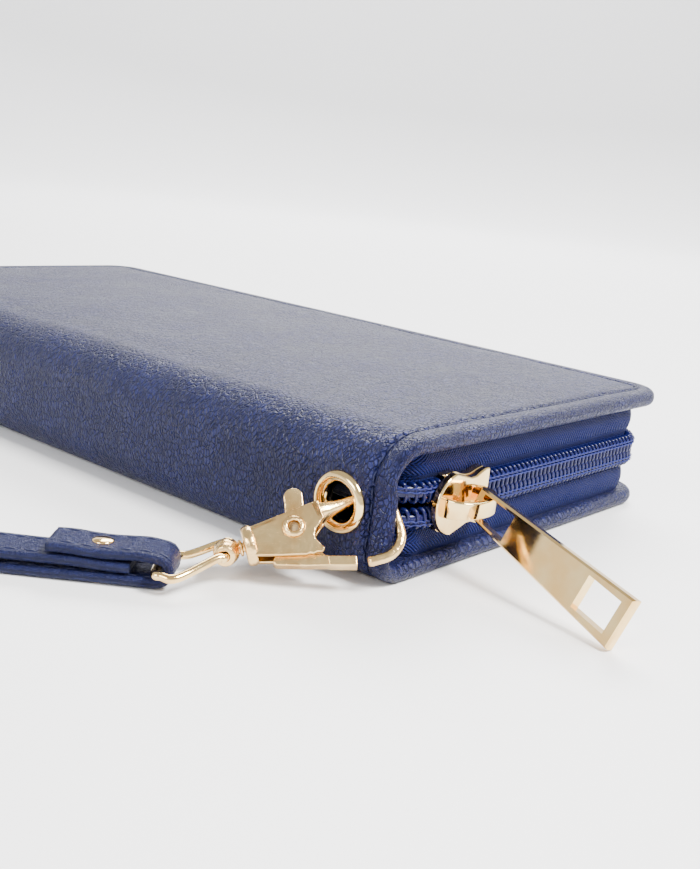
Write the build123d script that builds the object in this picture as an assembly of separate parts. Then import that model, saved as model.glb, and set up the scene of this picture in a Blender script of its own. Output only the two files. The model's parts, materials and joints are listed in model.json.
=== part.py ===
from build123d import *
import os

# Zip-around wristlet wallet lying flat. Millimetres, +Z up.
# Origin: centre of the bottom cover's resting face, under the middle of the case.
# +X runs along the wallet to the end with the eyelet, the clasp and the closed zip slider,
# -Y is the rounded spine, +Y is the long zipped side.

# ---------------------------------------------------------------- driving sizes
case_length = 185.0
spine_y = -47.5
bottom_edge_y = 46.0
top_edge_y = 47.5
bottom_side_inset = 1.0
case_height = 25.2

cover_thickness = 3.3
leather_thickness = 1.7
lining_thickness = 0.6
rim_width = 5.0
cover_corner_radius = 8.0
spine_bottom_radius = 7.0
spine_top_radius = 9.0
spine_end_inset = 0.5
spine_board_thickness = 0.9
rim_strip_start = 4.2
rim_strip_bend = 1.2
rim_strip_below_eyelet = 8.5
rim_strip_above_eyelet = 3.4
spine_board_end_gap = 16.0
spine_board_gap = 0.3

tape_inset = 3.0
tape_thickness = 0.8
tape_gap = 0.2
tape_cover_gap = 0.1
coil_height = 6.9
coil_depth = 2.3
coil_proud = 1.8
coil_meeting_gap = 1.0
zip_edge_inset = 2.0

card_sheet = 0.5
card_backing = 0.8
card_tiers = 4
card_step = 11.0
card_column_gap = 1.2
card_inset_x = 11.0
card_inset_y = 7.0
card_far_inset = 6.5
card_first_step = 6.0
coin_pocket_height = 3.4
coin_panel = 0.8
coin_pocket_inset = 11.0
coin_far_inset = 12.5
coin_wall = 1.0
coin_tape = 3.2
coin_slider_start = 9.0
coin_slider_half_length = 4.0
coin_slider_plate = 0.8
coin_bridge_half_length = 2.5
coin_bridge_wall = 0.8
coin_bridge_height = 2.0
coin_pull_length = 8.4
coin_pull_bar = 0.9
coin_pull_half_width = 1.7
gusset_sheet = 0.5
gusset_fold = 4.6
gusset_near_inset = 2.5
gusset_far_inset = 9.5
gusset_overlap = 2.0

slider_length = 15.0
slider_nose_length = 3.6
slider_nose_overhang = 2.05
slider_waist_overhang = 0.95
slider_tail_overhang = 1.65
slider_nose_from_spine = 12.1
slider_plate = 1.2
slider_lip = 0.45
slider_running_gap = 0.25
slider_post = 0.5
slider_mouth_clearance = 0.35
bridge_start = 2.0
bridge_end_gap = 0.9
bridge_width = 1.7
bridge_gap = 3.9
bridge_thickness = 1.1

pull_bar_radius = 0.8
pull_bar_reach = 9.4
pull_bar_height = 2.35
pull_length = 34.9
pull_thickness = 2.0
pull_narrow_width = 5.5
pull_wide_width = 8.8
pull_rail = 0.6
pull_window_narrow = 7.6
pull_window_wide = 7.0
pull_margin = 1.5
pull_end_margin = 1.9
pull_bevel = 0.35

eyelet_from_end = 10.0
eyelet_rise = 0.2
eyelet_bore = 3.5
eyelet_wall = 0.4
eyelet_flange_width = 1.85
eyelet_flange_height = 1.1
eyelet_barrel = 0.9

hook_wire = 0.82
hook_arm_wire = 1.25
hook_radius_top = 4.15
hook_radius_low = 4.0
hook_throat = 2.8
clasp_thickness = 4.4
clasp_slot = 2.4
clasp_collar_radius = 3.35
clasp_collar_length = 1.8
rivet_radius = 0.95
rivet_bore = 0.5
rivet_flange = 1.85
rivet_flange_thickness = 0.4
gate_side_clearance = 0.15
gate_hub_radius = 1.95
gate_tab_radius = 1.3
gate_block_half = 1.7
spring_pocket_radius = 1.75
spring_coil_radius = 1.38
spring_wire = 0.16
pin_clearance = 0.06
swivel_pin_radius = 0.75
swivel_head_radius = 1.9
swivel_head_length = 3.9
loop_wire = 0.8
loop_bend = 1.3
loop_side_gap = 0.35

strap_width = 8.0
strap_thickness = 1.6
strap_layer_gap = 0.35
strap_length = 150.0
strap_run_gap = 0.9
strap_flap = 16.8
strap_end_radius = 3.9
strap_end_taper = 34.0
strap_rivet_reach = 9.0
strap_rivet_cap = 3.0
strap_rivet_cap_thickness = 0.6
strap_rivet_back_thickness = 0.3
strap_rivet_post = 1.2
fit_gap = 0.02
cut_over = 1.0

# ---------------------------------------------------------------- derived sizes
half_length = case_length / 2
cover_top_z = case_height - cover_thickness
coil_mid_z = case_height / 2
coil_low_z = coil_mid_z - coil_height / 2
coil_high_z = coil_mid_z + coil_height / 2
zip_outer_x = half_length - tape_inset
zip_outer_y = bottom_edge_y - zip_edge_inset - coil_proud
zip_corner = cover_corner_radius - 1.0
recess_corner = cover_corner_radius - 4.0
inner_leather_y = spine_y + leather_thickness
hinge_y = spine_y + spine_top_radius * (1 - 2 ** -0.5)
hinge_z = case_height - spine_top_radius * (1 - 2 ** -0.5)
stack_start_y = spine_y + card_inset_y
zip_start_y = stack_start_y
card_far_y = bottom_edge_y - card_far_inset
coin_far_y = card_far_y - coin_far_inset
low_stack_top = cover_thickness + card_backing + card_tiers * card_sheet
high_stack_low = case_height - low_stack_top
coin_low_z = coil_mid_z - coin_pocket_height / 2
coin_high_z = coil_mid_z + coin_pocket_height / 2
slider_nose_y = spine_y + slider_nose_from_spine
slider_half_width = coil_height / 2 + slider_nose_overhang
slider_waist = coil_height / 2 + slider_waist_overhang
slider_tail_half_width = coil_height / 2 + slider_tail_overhang
eyelet_x = half_length - spine_end_inset - eyelet_from_end
eyelet_z = coil_mid_z + eyelet_rise
eyelet_flange = eyelet_bore + eyelet_flange_width

# Clasp frame: origin on the gate rivet, x along the clasp to its hook, z out of its flat face.
clasp_origin = Vector(eyelet_x - 2.45, spine_y - 7.55, eyelet_z - 4.4)
clasp_along = Vector(0.5829, 0.7533, 0.3045)
clasp_face = Vector(0.4571, -0.6138, 0.6436)
clasp_plane = Plane(origin=clasp_origin, x_dir=clasp_along, z_dir=clasp_face)
hook_start = Vector(3.0, 2.2, 0)
hook_top = Vector(12.2, 2.75, 0)
hook_tip_length = 2.65
clasp_axis_offset = -0.4
collar_x = -7.0
swivel_head_x = -11.2

# Strap frame: origin on the loop bar, x along the strap away from the bar, z up.
strap_heading = 219.0
fold_inner_radius = max(loop_wire, strap_thickness / 2) + strap_layer_gap
fold_mid_radius = fold_inner_radius + strap_thickness / 2
bar_z = fold_mid_radius + strap_thickness / 2 + strap_rivet_back_thickness + 0.05
bar_centre = Vector(clasp_origin.X - 11.25, clasp_origin.Y - 17.75, bar_z)
strap_plane = Plane(origin=bar_centre, x_dir=Vector(1, 0, 0).rotate(Axis.Z, strap_heading), z_dir=(0, 0, 1))

# Pull frame: origin on the pull's end bar, x along the pull, z out of its face.
outer_plate_x = zip_outer_x + coil_proud + slider_running_gap
pull_origin = Vector(outer_plate_x + slider_plate + pull_bar_height,
                     slider_nose_y + pull_bar_reach, coil_mid_z)
pull_tip_mid = Vector(pull_origin.X + 32.75, pull_origin.Y - 8.45, 4.45)
pull_edge = Vector(0.317, 0.2, 0.927)


# ---------------------------------------------------------------- helpers
def save(node, shape):
    """Writes one named node."""
    solids = shape.solids()
    export_step(Compound(children=list(solids)) if len(solids) > 1 else solids[0], f"parts/{node}.step")


def slab(x0, x1, y0, y1, z0, z1):
    """Box between two corners."""
    return Pos((x0 + x1) / 2, (y0 + y1) / 2, (z0 + z1) / 2) * Box(x1 - x0, y1 - y0, z1 - z0)


def plan(half_x, y_low, y_high, corner, z0, z1):
    """Flat panel in plan, its two +Y corners rounded."""
    body = slab(-half_x, half_x, y_low, y_high, z0, z1)
    if corner > 0.2:
        corners = body.edges().filter_by(Axis.Z).sort_by(Axis.Y)[-2:]
        body = fillet(corners, corner)
    return body


def zip_band(outer_x, outer_y, corner, thickness, z0, z1, start_y):
    """Upright band that follows the three zipped sides."""
    outside = plan(outer_x, start_y, outer_y, corner, z0, z1)
    inside = plan(outer_x - thickness, start_y - cut_over, outer_y - thickness, corner - thickness,
                  z0 - cut_over, z1 + cut_over)
    return outside - inside


def wall_sector(points, half_x):
    """Extrudes a closed outline in the YZ plane along X, both ways."""
    outline = Polyline(*[(y, z) for y, z in points], close=True)
    face = make_face(Plane.YZ * outline)
    return extrude(face, amount=half_x, both=True)


# ---------------------------------------------------------------- covers and spine
def spine_block(skin, half_x):
    """Solid block with the spine's rounded corners, its faces set in by skin."""
    block = slab(-half_x, half_x, spine_y + skin, 0, skin, case_height - skin)
    spine_edges = block.edges().filter_by(Axis.X).group_by(Axis.Y)[0].sort_by(Axis.Z)
    block = fillet(spine_edges[0], spine_bottom_radius - skin)
    spine_edges = block.edges().filter_by(Axis.X).sort_by(lambda edge: edge.center().Z - edge.center().Y)
    return fillet(spine_edges[-1], spine_top_radius - skin)


def hinge_halves(shape):
    """Splits a wrapped sheet at the cover hinge: a plane at 45 degrees into the corner."""
    reach = 2 * case_length
    step = hinge_z - coil_mid_z
    lid_side = wall_sector(
        [(hinge_y, hinge_z), (hinge_y + step, hinge_z - step), (hinge_y + reach, hinge_z - step),
         (hinge_y + reach, hinge_z + reach), (hinge_y - reach, hinge_z + reach)], reach)
    return shape - lid_side, shape & lid_side


def leather_wrap():
    """Outer leather: thin on the spine, turned to the full cover thickness at the open rims."""
    start = spine_y + spine_top_radius
    wrap = spine_block(0, half_length - spine_end_inset)
    wrap -= spine_block(leather_thickness, half_length + cut_over)
    wrap -= slab(-case_length, case_length, start, case_length, -cut_over, case_height + cut_over)
    bottom_half = half_length - bottom_side_inset
    bottom = plan(bottom_half, start, bottom_edge_y, cover_corner_radius, 0, cover_thickness)
    bottom -= plan(bottom_half - rim_width, start - cut_over, bottom_edge_y - rim_width, recess_corner,
                   leather_thickness, cover_thickness + cut_over)
    top = plan(half_length, start, top_edge_y, cover_corner_radius, cover_top_z, case_height)
    top -= plan(half_length - rim_width, start - cut_over, top_edge_y - rim_width, recess_corner,
                cover_top_z - cut_over, case_height - leather_thickness)
    return wrap + bottom + top


def bend_rim_strip(leather):
    """Bends the spine's end rim inward, beside the eyelet, where the hook closes round it."""
    x0 = half_length - rim_strip_start
    x1 = half_length - spine_end_inset
    outside = make_face(Polyline((x0, spine_y), (x1 + fit_gap, spine_y + rim_strip_bend),
                                 (x1 + fit_gap, spine_y - cut_over), (x0, spine_y - cut_over), close=True))
    inside = make_face(Polyline((x0, inner_leather_y), (x1, inner_leather_y),
                                (x1, inner_leather_y + rim_strip_bend * 0.75), close=True))
    low = eyelet_z - rim_strip_below_eyelet
    high = eyelet_z + rim_strip_above_eyelet
    leather -= Pos(0, 0, low) * extrude(outside, amount=high - low, dir=(0, 0, 1))
    return leather + Pos(0, 0, low) * extrude(inside, amount=high - low, dir=(0, 0, 1))


def eyelet_cutter(radius, depth):
    """Round cutter through the spine wall at the eyelet."""
    return Pos(eyelet_x, spine_y, eyelet_z) * Rot(90, 0, 0) * Cylinder(radius, depth)


def make_covers():
    """Bottom-and-spine leather and top leather, with the eyelet hole."""
    base, lid = hinge_halves(bend_rim_strip(leather_wrap()))
    hole = eyelet_cutter(eyelet_bore + eyelet_wall, 4 * leather_thickness)
    save("cover_bottom_leather", base - hole)
    save("cover_top_leather", lid)


def make_cover_linings():
    """Stiffener board and lining in the recess of each cover."""
    recess_x = half_length - rim_width
    low_x = recess_x - bottom_side_inset
    start = spine_y + spine_top_radius
    board = cover_thickness - leather_thickness - lining_thickness
    save("bottom_board", plan(low_x, start, bottom_edge_y - rim_width, recess_corner,
                              leather_thickness, leather_thickness + board))
    save("bottom_lining", plan(low_x, start, bottom_edge_y - rim_width, recess_corner,
                               cover_thickness - lining_thickness, cover_thickness))
    save("top_board", plan(recess_x, start, top_edge_y - rim_width, recess_corner,
                           cover_top_z + lining_thickness, cover_top_z + lining_thickness + board))
    save("top_lining", plan(recess_x, start, top_edge_y - rim_width, recess_corner,
                            cover_top_z, cover_top_z + lining_thickness))
    board_x = half_length - spine_board_end_gap
    low_z = spine_bottom_radius + spine_board_gap
    high_z = case_height - spine_top_radius - spine_board_gap
    back_y = inner_leather_y + spine_board_thickness
    save("spine_board", slab(-board_x, board_x, inner_leather_y, back_y, low_z, high_z))
    save("spine_lining", slab(-board_x, board_x, back_y, back_y + lining_thickness, low_z, high_z))


def make_eyelet():
    """Metal eyelet: barrel through the leather with a domed front flange."""
    back_y = spine_y + eyelet_barrel
    front_y = spine_y - eyelet_flange_height
    barrel = eyelet_bore + eyelet_wall - fit_gap
    profile = Polyline(
        (eyelet_bore, back_y), (barrel, back_y), (barrel, spine_y), (eyelet_flange, spine_y),
        (eyelet_flange, spine_y - 0.35), (eyelet_flange - 0.7, front_y), (eyelet_bore + 0.6, front_y),
        (eyelet_bore, spine_y - 0.4), close=True)
    ring = revolve(make_face(profile), axis=Axis.Y)
    save("eyelet", Pos(eyelet_x, 0, eyelet_z) * ring)


# ---------------------------------------------------------------- zip
def make_zip_tapes():
    """Woven tapes between the covers and the coils."""
    for node, z0, z1 in (
        ("zip_tape_lower", cover_thickness + tape_cover_gap, coil_low_z - tape_gap),
        ("zip_tape_upper", coil_high_z + tape_gap, cover_top_z - tape_cover_gap),
    ):
        save(node, zip_band(zip_outer_x, zip_outer_y, zip_corner, tape_thickness, z0, z1, zip_start_y))


def make_zip_coils():
    """Nylon coils of the two tapes, a gap between them for the slider's post."""
    outer_x = zip_outer_x + coil_proud
    outer_y = zip_outer_y + coil_proud
    gap = coil_meeting_gap / 2
    for node, z0, z1 in (
        ("zip_coil_lower", coil_low_z, coil_mid_z - gap),
        ("zip_coil_upper", coil_mid_z + gap, coil_high_z),
    ):
        save(node, zip_band(outer_x, outer_y, zip_corner + coil_proud, coil_depth, z0, z1, zip_start_y))


def slider_outline():
    """Shield outline of a slider plate, in its own plane: x along its length, y across."""
    nose = slider_nose_length
    wide = slider_half_width
    tail = slider_tail_half_width
    edges = [
        ThreePointArc((nose, -wide), (0, 0), (nose, wide)),
        ThreePointArc((nose, wide), (slider_length * 0.62, slider_waist), (slider_length, tail)),
        Line((slider_length, tail), (slider_length, -tail)),
        ThreePointArc((slider_length, -tail), (slider_length * 0.62, -slider_waist), (nose, -wide)),
    ]
    return make_face(Curve() + edges)


def slider_plane(x):
    """Plane of a slider plate at a given distance out: its x runs to +Y and its y to +Z."""
    return Plane(origin=(x, slider_nose_y, coil_mid_z), x_dir=(0, 1, 0), z_dir=(1, 0, 0))


def make_zip_slider():
    """Slider casting: outer and inner plate, the post between them and the lips that guide the coils."""
    inner_plate_x = zip_outer_x - tape_thickness - slider_running_gap - slider_plate
    inside_x = inner_plate_x + slider_plate
    outline = slider_outline()
    outer = extrude(slider_plane(outer_plate_x) * outline, amount=slider_plate)
    outer = chamfer(outer.faces().sort_by(Axis.X)[-1].edges(), 0.3)
    inner = extrude(slider_plane(inner_plate_x) * outline, amount=slider_plate)
    edge_in = offset(outline, amount=-slider_lip)
    lips = extrude(slider_plane(inside_x) * (outline - edge_in), amount=outer_plate_x - inside_x)
    y0 = slider_nose_y - cut_over
    y1 = slider_nose_y + slider_length + cut_over
    mouth = coil_height / 2 + slider_mouth_clearance
    side = 2 * slider_half_width
    lips -= slab(inside_x - cut_over, outer_plate_x + cut_over, y0, y1,
                 coil_mid_z - mouth, coil_mid_z + mouth)
    lips -= slab(inside_x, zip_outer_x + slider_running_gap, y0, y1, coil_mid_z - side, coil_mid_z + side)
    post_end = slider_nose_length * 1.5
    post_outline = make_face(Polyline(
        (1.0, 0), (1.6, -slider_post / 2), (post_end, -slider_post / 2),
        (post_end, slider_post / 2), (1.6, slider_post / 2), close=True))
    post = extrude(slider_plane(inside_x) * post_outline, amount=outer_plate_x - inside_x)
    save("slider_body", outer + inner + lips + post)


def make_slider_bridge():
    """Bridge over the outer plate that holds the pull."""
    base_x = outer_plate_x + slider_plate
    y0 = slider_nose_y + bridge_start
    y1 = slider_nose_y + slider_length - bridge_end_gap
    top_x = base_x + bridge_gap
    outer = FilletPolyline((base_x, y0), (top_x + bridge_thickness, y0 + 2.2),
                           (top_x + bridge_thickness, y1), (base_x, y1), radius=1.8)
    inner = FilletPolyline((base_x, y1 - bridge_thickness), (top_x, y1 - bridge_thickness),
                           (top_x, y0 + 3.4), (base_x, y0 + 2.0), radius=1.0)
    ends = [Line(outer @ 1, inner @ 0), Line(inner @ 1, outer @ 0)]
    face = make_face(Curve() + [*outer.edges(), *inner.edges(), *ends])
    bridge = extrude(Pos(0, 0, coil_mid_z) * face, amount=bridge_width / 2, both=True)
    save("slider_bridge", bridge)


def make_zip_pull():
    """Tapered pull: end bar under the bridge, a window at each end, bevelled rim."""
    along = (pull_tip_mid - pull_origin).normalized()
    across = (pull_edge - along * pull_edge.dot(along)).normalized()
    frame = Plane(origin=pull_origin, x_dir=along, z_dir=along.cross(across))
    near = pull_narrow_width / 2
    far = pull_wide_width / 2
    start = -pull_bar_radius
    outline = make_face(Polyline((start, -near), (pull_length, -far),
                                 (pull_length, far), (start, near), close=True))
    plate = extrude(outline, amount=pull_thickness / 2, both=True)
    plate = chamfer(plate.edges().filter_by(Axis.Z, reverse=True), pull_bevel)
    window_start = pull_bar_radius
    window_end = window_start + pull_window_narrow
    half = near - pull_rail
    window = make_face(Polyline((window_start, -half), (window_end, -half - 0.3),
                                (window_end, half + 0.3), (window_start, half), close=True))
    grip_end = pull_length - pull_end_margin
    grip_start = grip_end - pull_window_wide
    grip_half = far - pull_margin
    grip = make_face(Polyline((grip_start, -grip_half), (grip_end, -grip_half),
                              (grip_end, grip_half), (grip_start, grip_half), close=True))
    plate -= extrude(window, amount=pull_thickness, both=True)
    plate -= extrude(grip, amount=pull_thickness, both=True)
    save("zip_pull", frame * plate)


# ---------------------------------------------------------------- inside of the wallet
def make_card_pockets():
    """Backing sheet and stepped pocket sheets on each cover, in two columns."""
    half_x = half_length - card_inset_x
    for place, base_z, grow in (("lower", cover_thickness, 1), ("upper", cover_top_z, -1)):
        z0, z1 = sorted((base_z, base_z + grow * card_backing))
        save(f"card_panel_{place}", slab(-half_x, half_x, stack_start_y, card_far_y, z0, z1))
        for tier in range(card_tiers):
            start = base_z + grow * (card_backing + tier * card_sheet)
            z0, z1 = sorted((start, start + grow * card_sheet))
            edge_y = card_far_y - card_first_step - tier * card_step
            sheet = slab(-half_x, half_x, stack_start_y, edge_y, z0, z1)
            sheet -= slab(-card_column_gap / 2, card_column_gap / 2, stack_start_y + coin_wall,
                          edge_y + cut_over, z0 - cut_over, z1 + cut_over)
            save(f"card_pocket_{place}_{tier + 1}", sheet)


def make_coin_pocket():
    """Middle divider: a flat pouch with a zip along its far edge."""
    half_x = half_length - coin_pocket_inset
    y0 = stack_start_y
    y1 = coin_far_y
    save("coin_panel_lower", slab(-half_x, half_x, y0, y1, coin_low_z, coin_low_z + coin_panel))
    save("coin_panel_upper", slab(-half_x, half_x, y0, y1, coin_high_z - coin_panel, coin_high_z))
    inside = slab(-half_x + coin_wall, half_x - coin_wall, y0 + coin_wall, y1 + cut_over,
                  coin_low_z, coin_high_z)
    rim = slab(-half_x, half_x, y0, y1, coin_low_z + coin_panel, coin_high_z - coin_panel) - inside
    save("coin_pocket_binding", rim)
    tape_y = y1 + coin_tape
    tape = lining_thickness
    tapes = slab(-half_x, half_x, y1, tape_y, coin_low_z, coin_low_z + tape)
    tapes += slab(-half_x, half_x, y1, tape_y, coin_high_z - tape, coin_high_z)
    save("coin_zip_tapes", tapes)
    coil = slab(-half_x, half_x, tape_y - 2 * tape, tape_y, coin_low_z + tape, coin_high_z - tape)
    save("coin_zip_coil", coil)
    make_coin_slider(-half_x + coin_slider_start, tape_y + tape_gap)


def make_coin_slider(x, y):
    """Small slider plate with its bridge, and the pull whose end bar passes under the bridge."""
    front = y + coin_slider_plate
    top = front + coin_bridge_height
    bridge_in = coin_bridge_half_length - coin_bridge_wall
    plate = slab(x - coin_slider_half_length, x + coin_slider_half_length, y, front,
                 coin_low_z - tape_cover_gap, coin_high_z + tape_cover_gap)
    plate = fillet(plate.edges().filter_by(Axis.Y), 1.2)
    bridge = slab(x - coin_bridge_half_length, x + coin_bridge_half_length, front, top,
                  coil_mid_z - coin_wall / 2, coil_mid_z + coin_wall / 2)
    bridge -= slab(x - bridge_in, x + bridge_in, front - tape_cover_gap, top - lining_thickness,
                   coil_mid_z - coin_wall, coil_mid_z + coin_wall)
    save("coin_slider", plate + bridge)
    bar_y = front + 0.75
    bar = coin_pull_bar / 2
    width = coin_pull_half_width
    pull = slab(x - bar, x + coin_pull_length, bar_y - bar, bar_y + bar,
                coil_mid_z - width, coil_mid_z + width)
    rail = width - 0.8
    pull -= slab(x + bar, x + coin_pull_length / 2, bar_y - cut_over, bar_y + cut_over,
                 coil_mid_z - rail, coil_mid_z + rail)
    save("coin_pull", pull)


def make_gussets():
    """Pleated side gussets that tie both covers to the coin pocket."""
    inner_x = half_length - card_inset_x
    outer_x = inner_x + gusset_fold
    steps = [low_stack_top - gusset_overlap, (low_stack_top + coil_mid_z) / 2, coil_mid_z,
             (high_stack_low + coil_mid_z) / 2, high_stack_low + gusset_overlap]
    xs = [inner_x, outer_x, inner_x, outer_x, inner_x]
    near_y = stack_start_y + gusset_near_inset
    far_y = card_far_y - gusset_far_inset
    pleats = Part()
    for i in range(len(steps) - 1):
        leg = make_face(Plane.XZ * Polyline((xs[i], steps[i]), (xs[i + 1], steps[i + 1]),
                                            (xs[i + 1] + gusset_sheet, steps[i + 1]),
                                            (xs[i] + gusset_sheet, steps[i]), close=True))
        pleats += extrude(leg, amount=(far_y - near_y) / 2, both=True)
    pleats = Pos(0, (near_y + far_y) / 2, 0) * pleats
    save("gusset_right", pleats)
    save("gusset_left", mirror(pleats, Plane.YZ))


# ---------------------------------------------------------------- clasp
def make_clasp_body():
    """Casting: tapered channel body, collar and the hook that runs through the eyelet."""
    top = [(-6.9, 1.9), (4.2, 3.55), (6.0, 3.4)]
    outline = make_face(Curve() + [
        Line(top[0], top[1]), Line(top[1], top[2]),
        Line(top[2], (6.0, 1.4)),
        ThreePointArc((6.0, 1.4), (2.7, -1.3), (3.4, -4.5)),
        Line((3.4, -4.5), (3.0, -5.4)), Line((3.0, -5.4), (-7.2, -2.8)), Line((-7.2, -2.8), top[0])])
    body = extrude(outline, amount=clasp_thickness / 2, both=True)
    channel = make_face(Polyline((-6.0, -8), (-6.0, 1.0), (-1.4, 1.6), (-1.4, 6), (4.0, 6), (4.0, 1.8),
                                 (7.0, 0.4), (7.0, -8), close=True))
    body -= extrude(channel, amount=clasp_slot / 2, both=True)
    body -= Cylinder(rivet_radius + pin_clearance, 2 * clasp_thickness)
    ring = Pos(collar_x - clasp_collar_length / 2, clasp_axis_offset, 0) * Rot(0, 90, 0)
    collar = fillet(Cylinder(clasp_collar_radius, clasp_collar_length).edges(), 0.5)
    body += ring * collar
    pin_hole = Cylinder(swivel_pin_radius + pin_clearance, 4 * clasp_collar_length)
    body -= Pos(collar_x, clasp_axis_offset, 0) * Rot(0, 90, 0) * pin_hole
    arm_dir = (hook_top - hook_start).normalized()
    arm_near = Plane(origin=hook_start, x_dir=(0, 0, 1), z_dir=arm_dir)
    arm_mid = Plane(origin=hook_start + arm_dir * 6.0, x_dir=(0, 0, 1), z_dir=arm_dir)
    arm = loft([arm_near * Circle(hook_arm_wire), arm_mid * Circle(hook_wire)])
    hook = sweep(arm_mid * Circle(hook_wire), path=hook_path(arm_mid.origin))
    save("clasp_body", clasp_plane * (body + arm + hook))


def hook_path(start):
    """Centre line of the hook past its arm: over the leather edge, down behind it and back to the gate."""
    low = hook_top.Y - hook_radius_top
    bend = CenterArc((hook_top.X, low, 0), hook_radius_top, 90, -90)
    side_x = hook_top.X + hook_radius_top
    side = Line((side_x, low), (side_x, low - hook_throat))
    back = CenterArc((side_x - hook_radius_low, low - hook_throat, 0), hook_radius_low, 0, -90)
    tip_y = low - hook_throat - hook_radius_low
    tip = Line((side_x - hook_radius_low, tip_y), (side_x - hook_radius_low - hook_tip_length, tip_y))
    return Wire([Line(start, hook_top), bend, side, back, tip])


def make_clasp_rivet():
    """Hollow rivet that the gate turns on."""
    half = clasp_thickness / 2
    post = Cylinder(rivet_radius, clasp_thickness)
    cap = fillet(Cylinder(rivet_flange, rivet_flange_thickness).edges().group_by(Axis.Z)[-1], 0.25)
    rivet = post + Pos(0, 0, half + rivet_flange_thickness / 2) * cap
    rivet += Pos(0, 0, -half - rivet_flange_thickness / 2) * Rot(180, 0, 0) * cap
    rivet -= Cylinder(rivet_bore, 2 * clasp_thickness)
    save("clasp_rivet", clasp_plane * rivet)


def make_clasp_gate():
    """Gate: hub on the rivet, thumb tab above, finger below that closes the hook."""
    hub_half = clasp_slot / 2 - gate_side_clearance
    finger = make_face(Polyline((-1.7, 0.6), (-4.5, -3.7), (-4.4, -4.8), (8.0, -8.7), (8.45, -6.95),
                                (2.2, -5.0), (1.9, -0.8), close=True))
    gate = extrude(finger, amount=hub_half, both=True)
    gate += Cylinder(gate_hub_radius, 2 * hub_half)
    tab = make_face(Polyline((-1.0, 1.2), (0.3, 6.6), (2.9, 6.6), (1.9, 0.4), close=True))
    gate += extrude(tab, amount=hub_half, both=True)
    gate += Pos(1.6, 6.6, 0) * Cylinder(gate_tab_radius, 2 * hub_half)
    block = make_face(Polyline((4.8, -7.7), (8.0, -8.7), (8.45, -6.95), (5.2, -5.9), close=True))
    gate += extrude(block, amount=gate_block_half, both=True)
    gate -= Cylinder(rivet_radius + pin_clearance, 2 * clasp_thickness)
    pocket_depth = 5 * spring_wire
    pocket = Cylinder(spring_pocket_radius, pocket_depth + cut_over)
    pocket -= Cylinder(rivet_radius, 2 * clasp_thickness)
    gate -= Pos(0, 0, hub_half + (cut_over - pocket_depth) / 2) * pocket
    save("clasp_gate", clasp_plane * gate)
    low = hub_half - 3.5 * spring_wire
    high = hub_half - 0.6 * spring_wire
    ring = Torus(spring_coil_radius, spring_wire)
    spring = Pos(0, 0, low) * ring + Pos(0, 0, high) * ring
    spring += Pos(spring_coil_radius, 0, (low + high) / 2) * Cylinder(spring_wire, high - low)
    save("gate_spring", clasp_plane * spring)


def make_swivel():
    """Swivel stud through the collar with the cross-drilled head that carries the wire loop."""
    inner_end = collar_x + 1.4
    pin_end = swivel_head_x
    pin = Pos((inner_end + pin_end) / 2, clasp_axis_offset, 0) * Rot(0, 90, 0) * Cylinder(
        swivel_pin_radius, inner_end - pin_end)
    button = Pos(inner_end, clasp_axis_offset, 0) * Rot(0, 90, 0) * Cylinder(1.1, 0.6)
    stud = clasp_plane * (pin + button)
    head_centre = clasp_plane.from_local_coords(Vector(swivel_head_x, clasp_axis_offset, 0))
    head_plane = Plane(origin=head_centre, x_dir=strap_plane.x_dir, z_dir=strap_plane.y_dir)
    head = fillet(Cylinder(swivel_head_radius, swivel_head_length).edges(), 0.6)
    clear = head_plane * Cylinder(loop_wire + pin_clearance, 2 * swivel_head_length)
    drilled = head_plane * head - clear
    save("swivel_head", drilled + (stud - clear))
    return head_centre


def make_swivel_loop(head_centre):
    """Wire loop from the swivel head's cross hole round the strap's fold."""
    across = strap_plane.y_dir
    inside = swivel_head_length / 2 - 1.2
    shoulder = swivel_head_length / 2 + 1.9
    reach = strap_width / 2 + loop_side_gap + loop_wire
    straight = strap_plane.x_dir * -(fold_mid_radius + 1.6)
    points = []
    for side in (1, -1):
        corner = bar_centre + across * (side * reach)
        leg = [head_centre + across * (side * inside), head_centre + across * (side * shoulder),
               corner + straight, corner]
        points += leg if side == 1 else leg[::-1]
    path = FilletPolyline(*points, radius=loop_bend)
    start = Plane(origin=points[0], z_dir=across)
    save("swivel_loop", sweep(start * Circle(loop_wire), path=path))


# ---------------------------------------------------------------- wrist strap
def strap_path():
    """Centre line of the strap in its own plane: flap, fold on the bar, lower run, end bulge, upper run."""
    lower = -fold_mid_radius
    ground = -bar_centre.Z + strap_thickness / 2 + fit_gap
    end_z = ground + strap_end_radius
    taper = strap_length - strap_end_taper
    end_x = strap_length - strap_end_radius - strap_thickness / 2
    settle = strap_flap + 8.0
    flap = Line((strap_flap, fold_mid_radius), (0, fold_mid_radius))
    fold = ThreePointArc((0, fold_mid_radius), (-fold_mid_radius, 0), (0, lower))
    run_out = FilletPolyline((0, lower), (strap_flap, lower), (settle, ground), (end_x, ground), radius=20.0)
    bulge = ThreePointArc((end_x, ground), (end_x + strap_end_radius, end_z),
                          (end_x, end_z + strap_end_radius))
    upper = ground + strap_thickness + strap_run_gap
    back = FilletPolyline((end_x, end_z + strap_end_radius), (end_x - 3.0, end_z + strap_end_radius),
                          (taper, upper), (settle, upper), (strap_flap, 0), (2 * fold_inner_radius, 0),
                          radius=8.0)
    return [flap, fold, *run_out.edges(), bulge, *back.edges()]


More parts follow.
